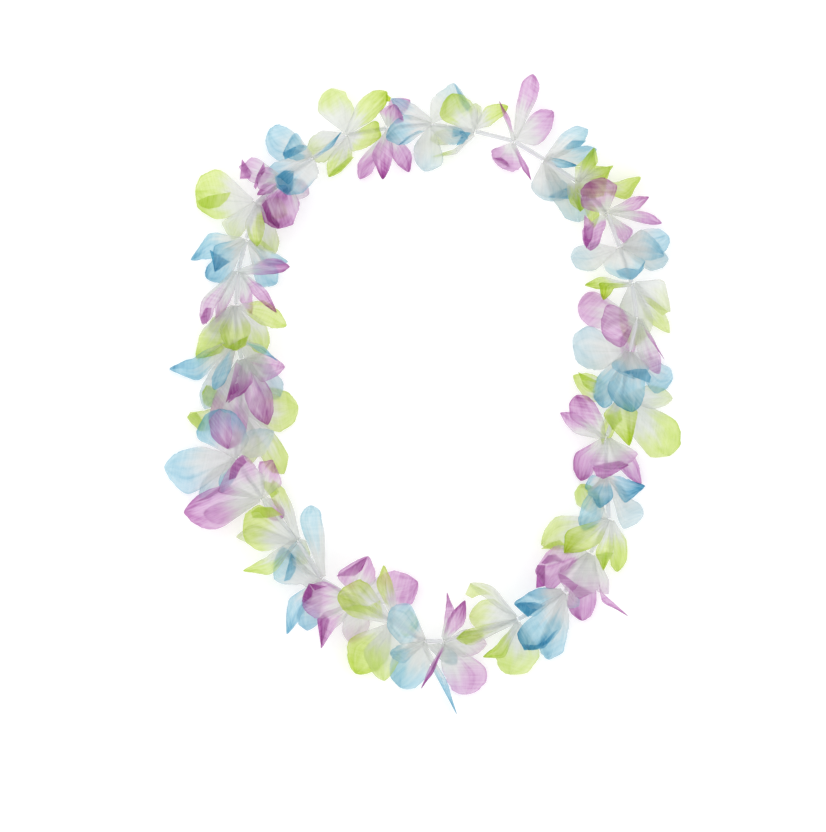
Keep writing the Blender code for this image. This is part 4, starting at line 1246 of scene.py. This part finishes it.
def fabric_material(colour):
    """Thin crisp cloth that lets light through, with veins, painted shade along sharp wrinkles, a weave and
    each point's dye.
    """
    material, tree = nodes_of(colour + "_fabric")
    # each point's dye, with the petals' painted shade in it
    dye = add_node(tree, "ShaderNodeAttribute", attribute_name="dye").outputs["Color"]
    cloth = add_node(tree, "ShaderNodeUVMap", uv_map="cloth").outputs["UV"]
    veins = noise(tree, 1.0, 4.0, scaled(tree, cloth, VEIN_SCALE))
    wrinkles = noise(tree, 1.0, 2.0, scaled(tree, cloth, WRINKLE_SCALE))
    aside = computed(tree, "ABSOLUTE", computed(tree, "SUBTRACT", wrinkles, WRINKLE_MIDDLE))
    blotches = noise(tree, BLOTCH_SCALE, 2.0, cloth)
    shade = deepened(tree, dye, remapped(tree, veins, NOISE_SPREAD, VEIN_DEPTHS[colour]))
    # painted shade: sharp dark lines where the cloth would wrinkle
    shade = deepened(tree, shade, remapped(tree, aside, (0.0, WRINKLE_WIDTH), WRINKLE_DEPTHS))
    shade = deepened(tree, shade, remapped(tree, blotches, NOISE_SPREAD, BLOTCH_DEPTHS))
    threads = add_node(tree, "ShaderNodeAttribute", attribute_name="threads").outputs["Vector"]
    crinkles = noise(tree, 1.0, 3.0, scaled(tree, threads, CRINKLE_SCALE))
    shade = deepened(tree, shade, remapped(tree, crinkles, NOISE_SPREAD, CRINKLE_DEPTHS[colour]))
    relief = computed(tree, "ADD", veins, noise(tree, WEAVE_SCALE, 1.0, cloth))
    weave = {"Height": relief, "Strength": WEAVE_STRENGTH, "Distance": WEAVE_RELIEF}
    facing = add_node(tree, "ShaderNodeBump", weave).outputs["Normal"]
    looks = {"Base Color": shade, "Normal": facing, **FABRIC_LOOKS}
    surface = add_node(tree, "ShaderNodeBsdfPrincipled", looks)
    through = add_node(tree, "ShaderNodeBsdfTranslucent", {"Color": shade, "Normal": facing})
    clear = add_node(tree, "ShaderNodeBsdfTransparent", {"Color": shade})
    lit = mixed(tree, THROUGH_LIGHT, surface.outputs["BSDF"], through.outputs["BSDF"])
    both = mixed(tree, SHEERNESS, lit, clear.outputs["BSDF"])
    add_node(tree, "ShaderNodeOutputMaterial", {"Surface": both})
    return material


def plastic_material(name, colour, roughness, sheerness):
    """Thin milky plastic."""
    material, tree = nodes_of(name)
    roughs = (roughness - ROUGHNESS_PLAY, roughness + ROUGHNESS_PLAY)
    uneven = remapped(tree, noise(tree, PLASTIC_SPOTS), (0.0, 1.0), roughs)
    surface = add_node(tree, "ShaderNodeBsdfPrincipled", {"Base Color": (*colour, 1.0), "Roughness": uneven})
    clear = add_node(tree, "ShaderNodeBsdfTransparent", {"Color": (*colour, 1.0)})
    both = mixed(tree, sheerness, surface.outputs["BSDF"], clear.outputs["BSDF"])
    add_node(tree, "ShaderNodeOutputMaterial", {"Surface": both})
    return material


def floor_material():
    """A white table, lit from under as well so that it stays white in the lei's shade."""
    material, tree = nodes_of("white_table")
    looks = {
        "Base Color": FLOOR_COLOUR,
        "Roughness": remapped(tree, noise(tree, FLOOR_SPOTS), (0.0, 1.0), FLOOR_ROUGHNESS),
        "Specular IOR Level": FLOOR_SHINE,
        "Emission Color": WHITE,
        "Emission Strength": FLOOR_GLOW,
    }
    surface = add_node(tree, "ShaderNodeBsdfPrincipled", looks).outputs["BSDF"]
    add_node(tree, "ShaderNodeOutputMaterial", {"Surface": surface})
    return material


# Table, light and camera


def make_floor():
    """A level white table that reaches past the view."""
    mesh = bpy.data.meshes.new("floor")
    corners = [(x * FLOOR_REACH, y * FLOOR_REACH, 0) for x, y in ((-1, -1), (1, -1), (1, 1), (-1, 1))]
    mesh.from_pydata(corners, [], [(0, 1, 2, 3)])
    mesh.materials.append(floor_material())
    floor = in_scene("floor", mesh)


def make_light():
    """A white room with one softbox, turned to the middle of the loop."""
    world = bpy.data.worlds.new("white_room")
    world.use_nodes = True
    background = world.node_tree.nodes["Background"].inputs
    background["Color"].default_value = WHITE
    background["Strength"].default_value = ROOM_LIGHT
    bpy.context.scene.world = world
    lamp = bpy.data.lights.new("softbox", "AREA")
    lamp.energy = SOFTBOX_WATTS
    lamp.size = SOFTBOX_SIZE
    softbox = in_scene("softbox", lamp)
    softbox.location = SOFTBOX_PLACE
    softbox.rotation_euler = (-softbox.location).to_track_quat("-Z", "Y").to_euler()
    bpy.context.scene.view_settings.view_transform = "Standard"
    bpy.context.scene.cycles.transparent_max_bounces = SHEETS_SEEN_THROUGH
    bpy.context.scene.cycles.max_bounces = LIGHT_BOUNCES


def make_camera():
    """Straight above, so far off that the lei's height shifts nothing."""
    lens = bpy.data.cameras.new("camera")
    lens.sensor_width = SENSOR_WIDTH
    lens.lens = SENSOR_WIDTH * CAMERA_DISTANCE * METRE / (max(PHOTO_SIZE) * PHOTO_PIXEL)
    camera = in_scene("camera", lens)
    x, y = table_point(PHOTO_SIZE[0] / 2, PHOTO_SIZE[1] / 2) / METRE
    camera.location = (x, y, CAMERA_DISTANCE + STRING_HEIGHT / METRE)
    bpy.context.scene.camera = camera


def main():
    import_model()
    make_camera()
    places = hub_places()
    directions = string_directions(places)
    plans, wishes, levels, owners, angles = petal_wishes(places, directions)
    ranks = stacking_ranks(plans, levels, owners, places)
    contacts = Contacts()
    add_petal_contacts(contacts, plans, ranks, owners)
    add_string_contacts(contacts, plans, levels, owners, angles, places, directions)
    heights = settled_heights(plans, wishes, contacts)
    fabrics = {colour: fabric_material(colour) for colour in COLOURS}
    blooms = [
        make_bloom(number, plans, heights, owners, places, directions, fabrics)
        for number in range(len(BLOOMS))
    ]
    straw_material = plastic_material("straw_plastic", *STRAW_LOOKS)
    string_material = plastic_material("white_string", *STRING_LOOKS)
    make_string(places, straw_material, string_material)
    areas = [declare_cloth(bloom) for bloom in blooms]
    print("cloth of a bloom, square metres:", min(areas), max(areas), sum(areas) / len(areas))
    make_floor()
    make_light()


main()
